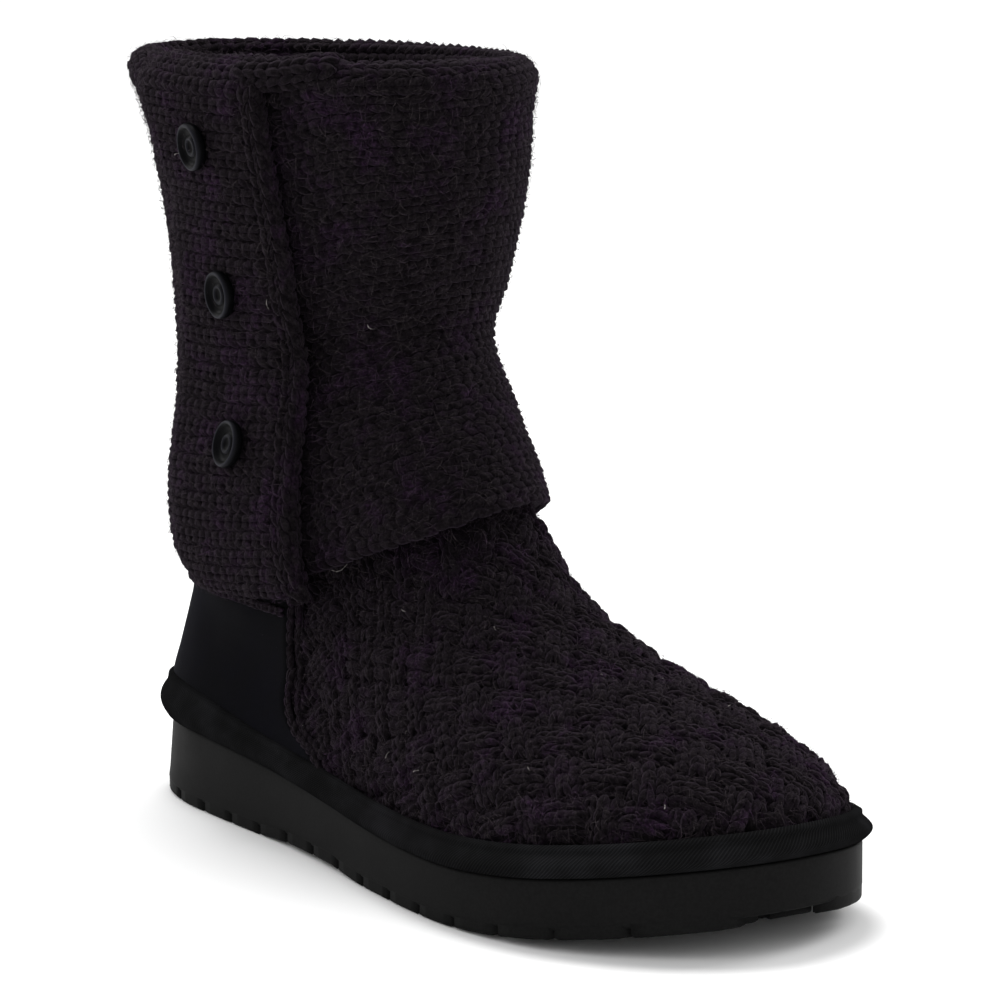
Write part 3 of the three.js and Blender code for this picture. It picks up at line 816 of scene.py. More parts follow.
def twill_group():
    """Woven tape: fine slanting ribs over worn cloth. Place is in metres along and across it."""
    tree, inside, out = shader_group(
        "woven_twill",
        (("NodeSocketVector", "Place", (0, 0, 0)), ("NodeSocketColor", "Ground", (0.01, 0.01, 0.01, 1)),
         ("NodeSocketColor", "Worn", (0.02, 0.02, 0.02, 1)), ("NodeSocketFloat", "Rib pitch", 0.0011),
         ("NodeSocketFloat", "Slant", 0.8), ("NodeSocketFloat", "Smooth", 0.6), ("NodeSocketFloat",
                 "Rough", 0.8)),
        (("NodeSocketColor", "Color"), ("NodeSocketFloat", "Roughness"), ("NodeSocketFloat", "Height")),
    )
    parts = node(tree, "ShaderNodeSeparateXYZ", {"Vector": inside.outputs["Place"]}).outputs
    along = maths(tree, "SUBTRACT", parts["X"], maths(tree, "MULTIPLY", parts["Y"], inside.outputs["Slant"]))
    turns = maths(tree, "DIVIDE", maths(tree, "MULTIPLY", along, 2 * math.pi), inside.outputs["Rib pitch"])
    ribs = band(tree, maths(tree, "SINE", turns), -0.9, 0.9)
    spots = noise(tree, inside.outputs["Place"], 45.0, 4.0, 0.6)
    color = blend(tree, band(tree, spots, 0.4, 0.7), inside.outputs["Ground"], inside.outputs["Worn"])
    light = maths(tree, "MULTIPLY", band(tree, ribs, 0.0, 1.0, 0.72, 1.2),
                  band(tree, spots, 0.3, 0.7, 0.85, 1.15))
    shade = node(tree, "ShaderNodeCombineColor", {"Red": light, "Green": light, "Blue": light}).outputs[0]
    tree.links.new(blend(tree, 1.0, color, shade, "MULTIPLY"), out.inputs["Color"])
    rough = node(tree, "ShaderNodeMapRange", {"Value": spots, "From Min": 0.3, "From Max": 0.7,
                                              "To Min": inside.outputs["Smooth"],
                                              "To Max": inside.outputs["Rough"]})
    tree.links.new(rough.outputs["Result"], out.inputs["Roughness"])
    tree.links.new(ribs, out.inputs["Height"])
    return tree


def material(name, effect, values, bump, distance, shine, on_cloth=False, rim=None):
    """A Principled material that takes its look from an effect group, darkened by painted shade, with
    optional painted highlights.
    """
    made = bpy.data.materials.new(name)
    made.use_nodes = True
    tree = made.node_tree
    shader = tree.nodes["Principled BSDF"]
    if on_cloth:
        where = node(tree, "ShaderNodeUVMap", uv_map="cloth").outputs["UV"]
    else:
        where = tree.nodes.new("ShaderNodeTexCoord").outputs["Object"]
    look = node(tree, "ShaderNodeGroup", node_tree=effect)
    tree.links.new(where, look.inputs["Place"])
    for key, value in values.items():
        look.inputs[key].default_value = value
    relief = node(tree, "ShaderNodeBump",
                  {"Height": look.outputs["Height"], "Strength": bump, "Distance": distance})
    # painted shade: a stored attribute from 0 to 1 darkens the colour by up to 80%
    painted_shade = node(tree, "ShaderNodeAttribute", attribute_name="painted_shade").outputs["Fac"]
    light = maths(tree, "SUBTRACT", 1.0, maths(tree, "MULTIPLY", painted_shade, 0.8))
    shade = node(tree, "ShaderNodeCombineColor", {"Red": light, "Green": light, "Blue": light}).outputs[0]
    color = blend(tree, 1.0, look.outputs["Color"], shade, "MULTIPLY")
    # painted highlight: the rim colour is laid over the button where its stored mask is high
    if rim:
        painted_highlight = node(tree, "ShaderNodeAttribute", attribute_name="painted_highlight").outputs["Fac"]
        color = blend(tree, painted_highlight, color, rim)
    tree.links.new(color, shader.inputs["Base Color"])
    tree.links.new(look.outputs["Roughness"], shader.inputs["Roughness"])
    tree.links.new(relief.outputs["Normal"], shader.inputs["Normal"])
    for key, value in shine.items():
        shader.inputs[key].default_value = value
    made.diffuse_color = tuple(next(v for k, v in values.items() if k in ("Yarn", "Ground")))
    return made


def dark(*levels):
    """A colour from its red, green and blue in thousandths."""
    return tuple(level / 1000 for level in levels) + (1,)


def make_wools():
    """Materials of yarn, of the cloth under it in a darker painted shade, of its loose fibres and of the
    lining.
    """
    wool = wool_group()
    soft = {"Sheen Weight": 0.04, "Sheen Roughness": 0.5, "Sheen Tint": (0.85, 0.62, 0.9, 1),
            "Specular IOR Level": 0.02}
    made = {}
    for key, name, yarn, dye, bump, distance in (
        ("yarn", "wool_yarn", dark(5.6, 4.6, 5.2), dark(10.5, 5.0, 12.0), 0.9, 0.0005),
        ("fuzz", "wool_fuzz", dark(20, 16.5, 18), dark(28, 15, 32), 0.1, 0.0001),
        ("lint", "pale_lint", dark(200, 185, 180), dark(120, 110, 120), 0.1, 0.0001),
        # the cloth under the stitches is a darker copy of the yarn: painted shade between and under them
        ("ground", "wool_ground_painted_shade", dark(3.8, 3.2, 3.5), dark(6.5, 3.7, 7.3), 0.6, 0.0004),
    ):
        made[key] = material(name, wool, {"Yarn": yarn, "Second dye": dye}, bump, distance, soft)
    fleece = {"Yarn": dark(11, 10, 11), "Second dye": dark(14, 12, 14), "Fibre size": 0.0016}
    made["fleece"] = material("lining_fleece", wool, fleece, 1.0, 0.0012, soft)
    return made


def make_materials():
    """Every finish of the boot by its short name."""
    made, grain = make_wools(), grain_group()
    suede = {"Ground": dark(1.8, 1.8, 2.1), "Worn": dark(3.2, 3.1, 5.4), "Smooth": 0.85, "Rough": 1.0,
             "Grain size": 0.0005}
    nap = {"Sheen Weight": 0.02, "Sheen Roughness": 0.4, "Sheen Tint": (0.55, 0.55, 0.85, 1),
           "Specular IOR Level": 0.02}
    tape = {"Ground": dark(7.5, 7.5, 7.8), "Worn": dark(10.5, 10.5, 11.5), "Smooth": 0.65, "Rough": 0.8}
    rubber = {"Ground": dark(7.2, 7.2, 7.2), "Worn": dark(9, 9, 8.9), "Smooth": 0.5, "Rough": 0.62,
              "Grain size": 0.0008}
    plastic = {"Ground": dark(1.6, 1.6, 2.0), "Worn": dark(2.4, 2.4, 3.0), "Smooth": 0.35, "Rough": 0.5}
    matt = {"Sheen Weight": 0.0, "Specular IOR Level": 0.0}
    made["suede"] = material("brushed_suede", grain, suede, 0.35, 0.0002, nap)
    made["tape"] = material("twill_tape", twill_group(), tape, 0.8, 0.0003, matt, on_cloth=True)
    made["rubber"] = material("foamed_rubber", grain, rubber, 0.15, 0.0001, {"Specular IOR Level": 0.02})
    # the button's rim colour is a painted highlight
    made["plastic"] = material("button_plastic", grain, plastic, 0.1, 0.0001,
                               {"Specular IOR Level": 0.03}, rim=dark(20, 20, 26))
    return made


# Floor, light and camera

def make_stage():
    size = 8.0
    mesh = bpy.data.meshes.new("floor")
    mesh.from_pydata([(-size, -size, 0), (size, -size, 0), (size, size, 0), (-size, size, 0)], [],
                     [(0, 1, 2, 3)])
    floor = bpy.data.objects.new("floor", mesh)
    bpy.context.scene.collection.objects.link(floor)
    pale = bpy.data.materials.new("pale_floor")
    pale.use_nodes = True
    shader = pale.node_tree.nodes["Principled BSDF"]
    shader.inputs["Base Color"].default_value = (0.92, 0.92, 0.92, 1)
    shader.inputs["Roughness"].default_value = 0.9
    shader.inputs["Specular IOR Level"].default_value = 0.0
    spot = pale.node_tree.nodes.new("ShaderNodeTexCoord").outputs["Object"]
    far = node(pale.node_tree, "ShaderNodeVectorMath", {0: spot}, operation="LENGTH").outputs["Value"]
    shader.inputs["Emission Strength"].default_value = 1.0
    glow = band(pale.node_tree, far, 0.45, 1.6, 0.0, 0.3)
    pale.node_tree.links.new(glow, shader.inputs["Emission Color"])
    mesh.materials.append(pale)


def soft_light(name, place_at, aim_at, size, power):
    data = bpy.data.lights.new(name, "AREA")
    data.shape, data.size, data.energy = "DISK", size, power
    lamp = bpy.data.objects.new(name, data)
    lamp.location = place_at
    lamp.rotation_euler = (Vector(aim_at) - Vector(place_at)).to_track_quat("-Z", "Y").to_euler()
    bpy.context.scene.collection.objects.link(lamp)


def make_lights():
    world = bpy.data.worlds.new("studio")
    bpy.context.scene.world = world
    world.use_nodes = True
    world.node_tree.nodes["Background"].inputs["Color"].default_value = (1, 1, 1, 1)
    seen = node(world.node_tree, "ShaderNodeLightPath").outputs["Is Camera Ray"]
    strength = maths(world.node_tree, "ADD", 0.85, maths(world.node_tree, "MULTIPLY", seen, 0.15))
    world.node_tree.links.new(strength, world.node_tree.nodes["Background"].inputs["Strength"])
    soft_light("key", (-0.5, 0.15, 1.9), (0, 0, 0.1), 0.9, 28)
    soft_light("fill", (0.1, 1.4, 1.0), (0, 0, 0.1), 0.8, 9)
    soft_light("edge", (-1.25, -0.6, 0.8), (0, 0, 0.1), 0.7, 5)
    bpy.context.scene.view_settings.view_transform = "Standard"


def make_camera():
    data = bpy.data.cameras.new("camera")
    data.lens, data.sensor_width = 158.7, 36
    camera = bpy.data.objects.new("camera", data)
    eye, aim = Vector((1.1318, -0.6606, 0.3)), Vector((0.1348, 0.00735, 0.0991))
    shift = Vector(MIDDLE)
    camera.location = eye - shift
    camera.rotation_euler = (aim - eye).to_track_quat("-Z", "Y").to_euler()
    bpy.context.scene.collection.objects.link(camera)
    bpy.context.scene.camera = camera



# Stitches: each is two legs of yarn, set along rows of points on the knit

def tree_sockets(tree, inputs, output):
    """Named inputs of a geometry tree, with its one output; gives the input and output nodes."""
    for kind, label, value in inputs:
        socket = tree.interface.new_socket(name=label, in_out="INPUT", socket_type=kind)
        if value is not None:
            socket.default_value = value
    tree.interface.new_socket(name=output, in_out="OUTPUT", socket_type="NodeSocketGeometry")
    return tree.nodes.new("NodeGroupInput"), tree.nodes.new("NodeGroupOutput")


def vector(tree, x, y, z):
    return node(tree, "ShaderNodeCombineXYZ", {"X": x, "Y": y, "Z": z}).outputs[0]


def stored(tree, geometry, name, value, kind="FLOAT", domain="POINT"):
    return node(tree, "GeometryNodeStoreNamedAttribute", {"Geometry": geometry, "Name": name, "Value": value},
                data_type=kind, domain=domain).outputs[0]


def read(tree, name, kind="FLOAT"):
    return node(tree, "GeometryNodeInputNamedAttribute", {"Name": name}, data_type=kind).outputs["Attribute"]


def leg_of_yarn(tree, inside, side):
    """A bent, tapered length of yarn from the middle of the row out to one side."""
    half = maths(tree, "MULTIPLY", inside["Course"], 0.72)
    spread = maths(tree, "MULTIPLY", inside["Spread"], float(side))
    low = maths(tree, "MULTIPLY", inside["Sink"], -1.0)
    high = maths(tree, "ADD", maths(tree, "MULTIPLY", inside["Rise"], 2.0), inside["Sink"])
    start = vector(tree, maths(tree, "MULTIPLY", half, -1.0), maths(tree, "MULTIPLY", spread, 0.12), low)
    middle = vector(tree, 0.0, maths(tree, "MULTIPLY", spread, 0.62), high)
    end = vector(tree, half, spread, low)
    rail = node(tree, "GeometryNodeCurveQuadraticBezier",
                {"Resolution": 3, "Start": start, "Middle": middle, "End": end})
    run = node(tree, "GeometryNodeSplineParameter").outputs["Factor"]
    rail = stored(tree, rail.outputs[0], "run", run)
    bulge = maths(tree, "SINE", maths(tree, "MULTIPLY", run, math.pi))
    taper = maths(tree, "ADD", maths(tree, "MULTIPLY", bulge, 0.5), 0.5)
    ring = node(tree, "GeometryNodeCurvePrimitiveCircle", {"Resolution": 5, "Radius": inside["Yarn"]})
    where = node(tree, "GeometryNodeInputPosition").outputs[0]
    turned = node(tree, "ShaderNodeVectorMath", {0: where}, operation="NORMALIZE").outputs[0]
    ring = stored(tree, ring.outputs[0], "round", turned, "FLOAT_VECTOR")
    return node(tree, "GeometryNodeCurveToMesh",
                {"Curve": rail, "Profile Curve": ring, "Scale": taper, "Fill Caps": True}).outputs[0]


def stitch_tree():
    tree = bpy.data.node_groups.new("yarn_stitches", "GeometryNodeTree")
    sizes = (("Course", 0.004), ("Spread", 0.002), ("Yarn", 0.001), ("Rise", 0.0006), ("Sink", 0.0006),
             ("Unevenness", 0.12))
    inputs = [("NodeSocketGeometry", "Places", None)] + [("NodeSocketFloat", k, v) for k, v in sizes]
    inputs += [("NodeSocketInt", "Seed", 1), ("NodeSocketMaterial", "Finish", None)]
    group_in, group_out = tree_sockets(tree, inputs, "Stitches")
    inside = group_in.outputs
    legs = node(tree, "GeometryNodeJoinGeometry")
    for side in (-1, 1):
        tree.links.new(leg_of_yarn(tree, inside, side), legs.inputs[0])
    stitch = node(tree, "GeometryNodeSetShadeSmooth",
                  {"Geometry": legs.outputs[0], "Shade Smooth": True}).outputs[0]
    facing = node(tree, "FunctionNodeAxesToRotation", {"Primary Axis": read(tree, "out", "FLOAT_VECTOR"),
                  "Secondary Axis": read(tree, "along",
                                         "FLOAT_VECTOR")}, primary_axis="Z", secondary_axis="X")
    sway = node(tree, "FunctionNodeRandomValue", {0: (-1, -1, -1), 1: (1, 1, 1), "Seed": inside["Seed"]},
                data_type="FLOAT_VECTOR").outputs[0]
    sway = node(tree, "ShaderNodeVectorMath", {0: sway, "Scale": inside["Unevenness"]},
                operation="SCALE").outputs[0]
    turn = node(tree, "FunctionNodeEulerToRotation", {"Euler": sway})
    rotation = node(tree, "FunctionNodeRotateRotation",
                    {"Rotation": facing.outputs[0], "Rotate By": turn.outputs[0]},
                    rotation_space="LOCAL")
    seed = maths(tree, "ADD", inside["Seed"], 7.0)
    grow = node(tree, "FunctionNodeRandomValue", {2: maths(tree, "SUBTRACT", 1.0, inside["Unevenness"]),
                3: maths(tree, "ADD", 1.0, inside["Unevenness"]), "Seed": seed}, data_type="FLOAT").outputs[1]
    size = maths(tree, "MULTIPLY", grow, read(tree, "size"))
    many = node(tree, "GeometryNodeInstanceOnPoints",
                {"Points": inside["Places"], "Instance": stitch, "Rotation": rotation.outputs[0],
                 "Scale": size})
    whole = node(tree, "GeometryNodeRealizeInstances", {"Geometry": many.outputs[0]})
    dressed = node(tree, "GeometryNodeSetMaterial",
                   {"Geometry": whole.outputs[0], "Material": inside["Finish"]})
    tree.links.new(dressed.outputs[0], group_out.inputs[0])
    return tree


def grown(name, tree, base, values):
    """A plain mesh of what a geometry tree makes on a base mesh; the base object goes."""
    holder = bpy.data.objects.new(name + "_places", base)
    bpy.context.scene.collection.objects.link(holder)
    modifier = holder.modifiers.new("grown", "NODES")
    modifier.node_group = tree
    for item in tree.interface.items_tree:
        if item.in_out == "INPUT" and item.name in values:
            modifier[item.identifier] = values[item.name]
    ready = holder.evaluated_get(bpy.context.evaluated_depsgraph_get())
    mesh = bpy.data.meshes.new_from_object(ready)
    mesh.name = name
    bpy.data.objects.remove(holder)
    piece = bpy.data.objects.new(name, mesh)
    bpy.context.scene.collection.objects.link(piece)
    return piece


def places_mesh(name, position, along, out, size, painted_shade):
    mesh = bpy.data.meshes.new(name)
    mesh.from_pydata(position.tolist(), [], [])
    for key, kind, values in (("along", "FLOAT_VECTOR", along), ("out", "FLOAT_VECTOR", out)):
        mesh.attributes.new(key, kind, "POINT").data.foreach_set("vector", values.astype(np.float32).ravel())
    for key, values in (("size", size), ("painted_shade", painted_shade)):
        mesh.attributes.new(key, "FLOAT", "POINT").data.foreach_set("value", values.astype(np.float32))
    return mesh


def along_row(row, normals, pitch, start):
    """Places every pitch along a row of points: where, which way the row runs, and its normal."""
    steps = np.linalg.norm(np.diff(row, axis=0), axis=-1)
    run = np.concatenate([[0], np.cumsum(steps)])
    count = max(int((run[-1] - start) / pitch), 1)
    at = start + np.arange(count) * (run[-1] - start) / count

    def on(values, where):
        return np.stack([np.interp(where, run, values[:, k]) for k in range(3)], axis=-1)
    way = on(row, np.minimum(at + 0.001, run[-1])) - on(row, np.maximum(at - 0.001, 0))
    return on(row, at), unit(way), unit(on(normals, at))


def knit_rows(grid, wale, course, seed):
    """Stitches in rows across a grid: the rows are a wale apart, the stitches a course apart."""
    rng = np.random.default_rng(seed)
    normals = grid_normals(grid)
    height = np.linalg.norm(np.diff(grid, axis=0), axis=-1).sum(axis=0).mean()
    rows = int(round(height / wale))
    made = [[], [], []]
    for r in range(rows):
        k = (r + 0.5) / rows * (len(grid) - 1)
        low, part = int(k), k - int(k)
        row = mix(grid[low], grid[low + 1], part)
        normal = unit(mix(normals[low], normals[low + 1], part))
        for kept, part_made in zip(made, along_row(row, normal, course, rng.uniform(0.1, 0.9) * course)):
            kept.append(part_made)
    position, along, out = (np.concatenate(m) for m in made)
    scale = height / rows / wale
    return [position, along, out, np.full(len(position), scale), np.zeros(len(position))]


def stitch_piece(name, tree, finish, places, sizes, seed):
    base = places_mesh(name, *places)
    return grown(name, tree, base, {**sizes, "Seed": seed, "Finish": finish})


CUFF_WALE = 0.0051
CUFF_COURSE = 0.0039
CUFF_STITCH = {"Course": 0.0041, "Spread": 0.0019, "Yarn": 0.00145, "Rise": 0.0002, "Sink": 0.0006,
               "Unevenness": 0.1}
FOOT_STITCH = {"Course": 0.0034, "Spread": 0.0015, "Yarn": 0.00112, "Rise": 0.0002, "Sink": 0.0004,
               "Unevenness": 0.13}
SEAM_STITCH = {"Course": 0.0034, "Spread": 0.0008, "Yarn": 0.0009, "Rise": 0.0002, "Sink": 0.0003,
               "Unevenness": 0.12}


def make_corner_fold(tree, knit, yarn):
    """The flap's top corner, folded over on to the rim of the front panel."""
    s = np.linspace(0, 1, 30)
    angle = CUFF_END - 0.16 + 0.6 * s
    rim = upper_point(np.ones_like(s), angle)
    out = unit(normal_of(upper_point, np.ones_like(s), angle) * [1, 1, 0])
    path = rim + out * (0.0045 - 0.004 * s)[:, None]
    path[:, 2] += 0.0072 - 0.0022 * s
    thick = 0.0052 * np.sqrt(np.clip(1 - np.abs(2 * s - 0.7) ** 3.2 / 2.3, 0.0, 1)) * np.where(s > 0.97,
            0.3, 1)
    thick[0] = thick[-1] = 0.0004
    turns = np.linspace(0, 2 * np.pi, 25)[:-1]
    upward = np.array([0, 0, 0.8])
    rows = [path + thick[:, None] * (out * 1.15 * math.cos(turn) + upward * math.sin(turn)) for turn in turns]
    grid = place(np.array(rows))
    body = loft("corner_fold", grid, [knit], ring=False)
    wrapped = np.concatenate([grid, grid[:1]])[:, 2:-2]
    places = knit_rows(wrapped, CUFF_WALE, CUFF_COURSE, 6)
    return body, stitch_piece("corner_stitches", tree, yarn, places, CUFF_STITCH, 13)


def joined(*groups):
    return [np.concatenate(values) for values in zip(*groups)]


def edge_rows(face, core):
    """Rows of stitches that run down the flap's rolled edge, from its face round to its back."""
    body = core[:, -13]
    ahead = unit(core[:, -1] - body)
    thick = face[:, -13] - body
    made = []
    for turn in (0.35, 1.15, 1.95, 2.75):
        row = body + ahead * 0.0055 * math.sin(turn) + thick * math.cos(turn)
        out = unit(ahead * math.sin(turn) + unit(thick) * math.cos(turn))
        position, way, out = along_row(place(row[2:-2]), out[2:-2], CUFF_COURSE, 0.001)
        made.append((position, way, out, np.full(len(position), 0.86), np.zeros(len(position))))
    return joined(*made)


def painted_shade_beside(position, edge, reach):
    """How dark each place is painted beside an edge that stands over it, from 0 to 1: painted shade."""
    far = np.linalg.norm(position[:, None] - edge[None], axis=-1).min(axis=1)
    return np.exp(-((far / reach) ** 2))


def make_cuff_stitches(tree, yarn):
    raw, core, angles = cuff_surface()
    face = place(ends_closed(raw, core, 0.003))
    split = int(np.searchsorted(angles, CUFF_START + 2 * np.pi - 0.9))
    places = knit_rows(face[4:, 22:split + 1], CUFF_WALE, CUFF_COURSE, 3)
    # painted shade on the front panel's stitches beside the flap's edge
    places[4] = painted_shade_beside(places[0], place(core[8:110:2, -1]), 0.0105)
    front = stitch_piece("cuff_front_stitches", tree, yarn, places, CUFF_STITCH, 11)
    flap = stitch_piece("cuff_flap_stitches", tree, yarn,
                        joined(knit_rows(face[4:, split:-10], CUFF_WALE, CUFF_COURSE, 4),
                               edge_rows(raw, core)), CUFF_STITCH, 12)
    return front, flap


def foot_samples():
    """Points all over the foot's knit, with their normals and places on the cloth laid flat."""
    rows, angles = np.linspace(0.035, 0.56, 270), np.linspace(0, 2 * np.pi, 1001)[:-1]
    t, a = np.meshgrid(rows, angles, indexing="ij")
    face = foot_surface(t, a)
    wrapped = np.concatenate([face[:, -2:], face, face[:, :2]], axis=1)
    normals = grid_normals(wrapped)[:, 2:-2]
    along, across = foot_cloth(upper_point(t, a))
    ahead = np.abs(np.mod(a + np.pi, 2 * np.pi) - np.pi) > seam_angle(t) - 0.04
    flat = np.stack([along, across, np.zeros_like(along)], axis=-1)
    return face[ahead], normals[ahead], flat[ahead]


def lattice_places():
    """Stitches in the woven bands: three wales across each band and four courses along each cell."""
    c, s = math.cos(math.radians(LATTICE_TILT)), math.sin(math.radians(LATTICE_TILT))
    made = []
    for i in range(-32, 34):
        for j in range(-34, 32):
            over = (i + j) % 2 == 0
            for w in range(3):
                for q in range(4):
                    first, second = (i + (w + 0.5) / 3,
                                     j + (q + 0.5) / 4) if over else (i + (q + 0.5) / 4, j + (w + 0.5) / 3)
                    across = (first + second) * BAND_PITCH / (2 * c)
                    along = (first - second) * BAND_PITCH / (2 * s)
                    made.append((along, across, c, -s if over else s))
    return np.array(made)


def foot_places():
    points, normals, flat = foot_samples()
    tree = KDTree(len(flat))
    for i, p in enumerate(flat):
        tree.insert(p, i)
    tree.balance()
    kept = []
    for along, across, da, dc in lattice_places():
        _, i, far = tree.find((along, across, 0))
        _, j, further = tree.find((along + da * 0.002, across + dc * 0.002, 0))
        if far < 0.0008 and further < 0.0012:
            kept.append((i, j))
    i, j = np.array(kept).T
    way = unit(points[j] - points[i])
    hem = place(cuff_surface()[0][5])
    height, _ = lattice(flat[i][:, 0], flat[i][:, 1])
    # painted shade under the cuff's hem and in the valleys between the lattice's bands
    painted_shade = np.maximum(painted_shade_beside(place(points[i]), hem, 0.013), 0.75 * smooth(1 - height, 0.25, 0.75))
    return place(points[i]), way, normals[i], np.ones(len(i)), painted_shade


def chain_along(t, angle, offset, pitch):
    """Places for one row of stitches along a line on the upper."""
    line = upper_offset(t, angle, offset)
    out = normal_of(upper_point, t, angle)
    position, way, out = along_row(place(line), out, pitch, 0.0005)
    return position, way, out, np.ones(len(position)), np.zeros(len(position))


def make_seam_stitches(tree, yarn):
    """Chains of knit along the counter's seams, and along the edge of the knit under the rear hem."""
    rows = np.linspace(0.06, 0.47, 120)
    lines = []
    for side in (-1, 1):
        for gap, offset in ((0.012, 0.0018), (0.05, 0.0008)):
            lines.append(chain_along(rows, side * (seam_angle(rows) + gap), offset, 0.0034))
    around = np.linspace(-1.7, 1.66, 160)
    hem = HEM + 0.002 - droop(around + 2 * np.pi) - 0.016
    lines.append(chain_along(hem, around, 0.0028, 0.0036))
    return stitch_piece("seam_stitches", tree, yarn, joined(*lines), SEAM_STITCH, 31)


# Fuzz: fine fibres that stand off the knit, and a few pale threads of lint

def fibre_tree():
    tree = bpy.data.node_groups.new("loose_fibres", "GeometryNodeTree")
    inputs = [("NodeSocketGeometry", "Cloth", None), ("NodeSocketFloat", "Density", 1000.0),
              ("NodeSocketFloat", "Length", 0.004),
              ("NodeSocketFloat", "Width", 0.00008), ("NodeSocketFloat", "Lift", 0.5), ("NodeSocketFloat",
                      "Stand off", 0.001),
              ("NodeSocketInt", "Seed", 1), ("NodeSocketMaterial", "Finish", None)]
    group_in, group_out = tree_sockets(tree, inputs, "Fibres")
    inside = group_in.outputs
    roots = node(tree, "GeometryNodeDistributePointsOnFaces",
                 {"Mesh": inside["Cloth"], "Density": inside["Density"],
                  "Seed": inside["Seed"]})
    away = node(tree, "ShaderNodeVectorMath", {0: roots.outputs["Normal"], "Scale": inside["Stand off"]},
                operation="SCALE")
    places = node(tree, "GeometryNodeSetPosition",
                  {"Geometry": roots.outputs["Points"], "Offset": away.outputs[0]})
    half = maths(tree, "MULTIPLY", inside["Length"], 0.5)
    high = maths(tree, "MULTIPLY", inside["Length"], 0.45)
    start = vector(tree, maths(tree, "MULTIPLY", half, -1.0), 0.0, maths(tree, "MULTIPLY", high, -0.4))
    middle = vector(tree, 0.0, maths(tree, "MULTIPLY", half, 0.3), high)
    end = vector(tree, half, 0.0, maths(tree, "MULTIPLY", high, 0.2))
    rail = node(tree, "GeometryNodeCurveQuadraticBezier",
                {"Resolution": 3, "Start": start, "Middle": middle, "End": end})
    wide = maths(tree, "MULTIPLY", inside["Width"], 0.5)
    blade = node(tree, "GeometryNodeCurvePrimitiveLine",
                 {"Start": vector(tree, maths(tree, "MULTIPLY", wide, -1.0), 0.0, 0.0),
                  "End": vector(tree, wide, 0.0, 0.0)})
    fibre = node(tree, "GeometryNodeCurveToMesh",
                 {"Curve": rail.outputs[0], "Profile Curve": blade.outputs[0]})
    lean_by = node(tree, "FunctionNodeRandomValue",
                   {0: (-1, -1, -3.14), 1: (1, 1, 3.14), "Seed": inside["Seed"]},
                   data_type="FLOAT_VECTOR").outputs[0]
    lift = vector(tree, inside["Lift"], inside["Lift"], 1.0)
    lean_by = node(tree, "ShaderNodeVectorMath", {0: lean_by, 1: lift}, operation="MULTIPLY").outputs[0]
    turn = node(tree, "FunctionNodeEulerToRotation", {"Euler": lean_by})
    rotation = node(tree, "FunctionNodeRotateRotation",
                    {"Rotation": roots.outputs["Rotation"], "Rotate By": turn.outputs[0]},
                    rotation_space="LOCAL")
    size = node(tree, "FunctionNodeRandomValue",
                {2: 0.5, 3: 1.4, "Seed": maths(tree, "ADD", inside["Seed"], 5.0)},
                data_type="FLOAT").outputs[1]
    many = node(tree, "GeometryNodeInstanceOnPoints",
                {"Points": places.outputs[0], "Instance": fibre.outputs[0],
                 "Rotation": rotation.outputs[0], "Scale": size})
    whole = node(tree, "GeometryNodeRealizeInstances", {"Geometry": many.outputs[0]})
    dressed = node(tree, "GeometryNodeSetMaterial",
                   {"Geometry": whole.outputs[0], "Material": inside["Finish"]})
    tree.links.new(dressed.outputs[0], group_out.inputs[0])
    return tree


FUZZ = {"Length": 0.0045, "Width": 0.00009, "Lift": 0.5, "Stand off": 0.0012}


def cloth_mesh(name, grid):
    """A bare mesh of a grid, for fibres to stand on."""
    rows, columns = grid.shape[:2]
    index = np.arange(rows * columns).reshape(rows, columns)
    faces = np.stack([index[:-1, :-1], index[:-1, 1:], index[1:, 1:], index[1:, :-1]], axis=-1).reshape(-1, 4)
    mesh = bpy.data.meshes.new(name)
    mesh.from_pydata(grid.reshape(-1, 3).tolist(), [], faces.tolist())
    return mesh


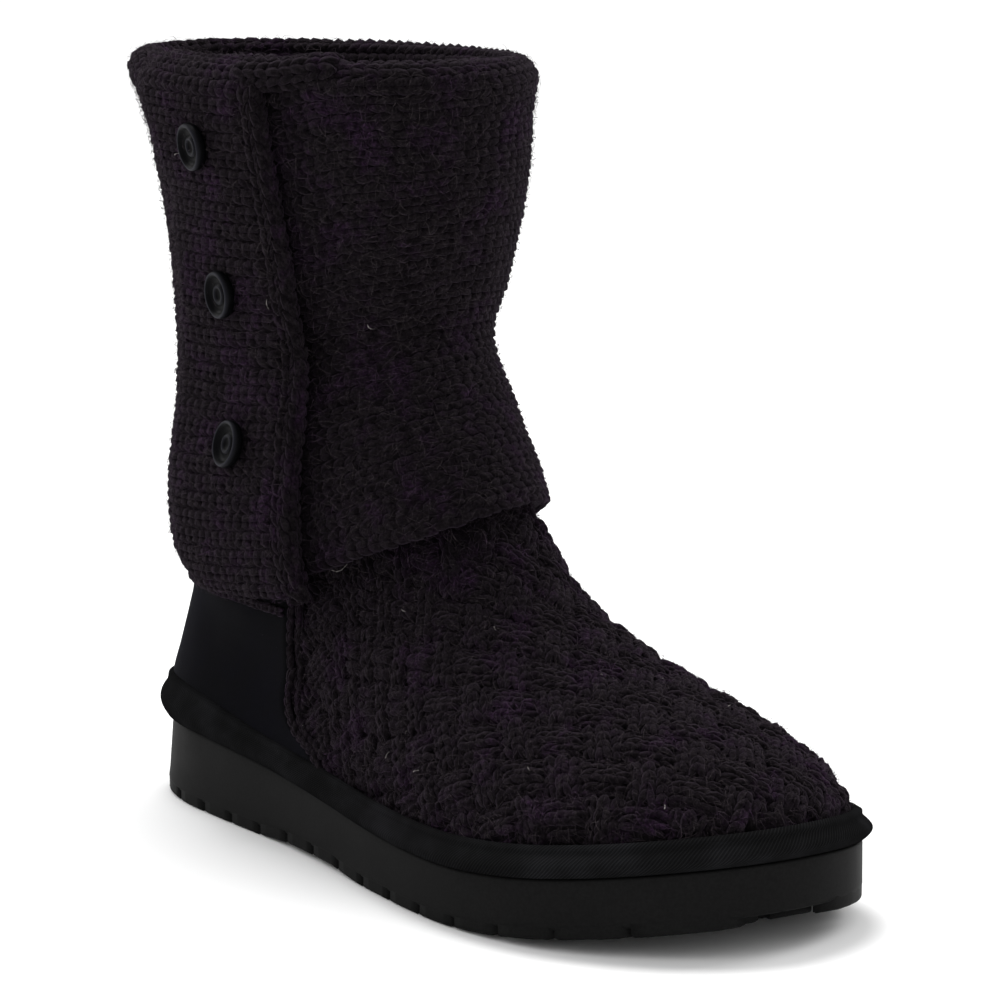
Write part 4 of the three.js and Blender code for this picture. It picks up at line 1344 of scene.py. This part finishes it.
def make_fibres(fuzz, lint):
    tree = fibre_tree()
    raw, core, _ = cuff_surface()
    cuff = place(ends_closed(raw, core, 0.003))[2:-30:3, ::4]
    t, a = np.meshgrid(np.linspace(0.05, 0.53, 60), np.linspace(1.3, 2 * np.pi - 1.3, 140), indexing="ij")
    foot = place(foot_surface(t, a))
    pieces = []
    for name, grid, density, seed, finish, shape in (
        ("cuff_fuzz", cuff, 260000, 41, fuzz, FUZZ),
        ("foot_fuzz", foot, 330000, 42, fuzz, {**FUZZ, "Length": 0.004, "Stand off": 0.001}),
        ("cuff_lint", cuff, 350, 43, lint,
         {"Length": 0.0034, "Width": 0.00016, "Lift": 0.3, "Stand off": 0.0016}),
        ("foot_lint", foot, 420, 44, lint,
         {"Length": 0.0020, "Width": 0.0002, "Lift": 0.3, "Stand off": 0.0014}),
    ):
        values = {**shape, "Density": density, "Seed": seed, "Finish": finish}
        pieces.append(grown(name, tree, cloth_mesh(name, grid), values))
    return pieces


def make_foot_stitches(tree, yarn):
    position, along, out, size, painted_shade = foot_places()
    pieces = []
    for name, chosen, seed in (("foot_outer_stitches", position[:, 1] < 0, 21),
                               ("foot_inner_stitches", position[:, 1] >= 0, 22)):
        places = [v[chosen] for v in (position, along, out, size, painted_shade)]
        pieces.append(stitch_piece(name, tree, yarn, places, FOOT_STITCH, seed))
    return pieces


make_camera()
make_stage()
make_lights()
finishes = make_materials()
finish_piece(make_cuff(finishes["ground"]), "knit", "cuff")
finish_piece(make_foot(finishes["ground"]), "knit", "upper")
finish_piece(make_lining(finishes["fleece"]), "fleece")
finish_piece(make_insole(finishes["fleece"]), "fleece", "insole")
stitches = stitch_tree()
yarn = finishes["yarn"]
knitted = [
    *make_cuff_stitches(stitches, yarn),
    *make_foot_stitches(stitches, yarn),
    make_seam_stitches(stitches, yarn),
    *make_corner_fold(stitches, finishes["ground"], yarn),
    *make_fibres(finishes["fuzz"], finishes["lint"]),
]
for piece in knitted:
    finish_piece(piece, "knit")
for i in (1, 2, 3):
    button = make_button(f"button_turned_{i}", f"button_{i}", finishes["plastic"])
    finish_piece(button, "button", f"button_{i}")
finish_piece(make_counter(finishes["suede"]), "suede", "heel_counter")
finish_piece(make_binding(finishes["tape"]), "binding_tape", "binding")
finish_piece(make_sole(finishes["rubber"]), "sole_rubber", "outsole")
finish_piece(make_lugs(finishes["rubber"]), "sole_rubber")
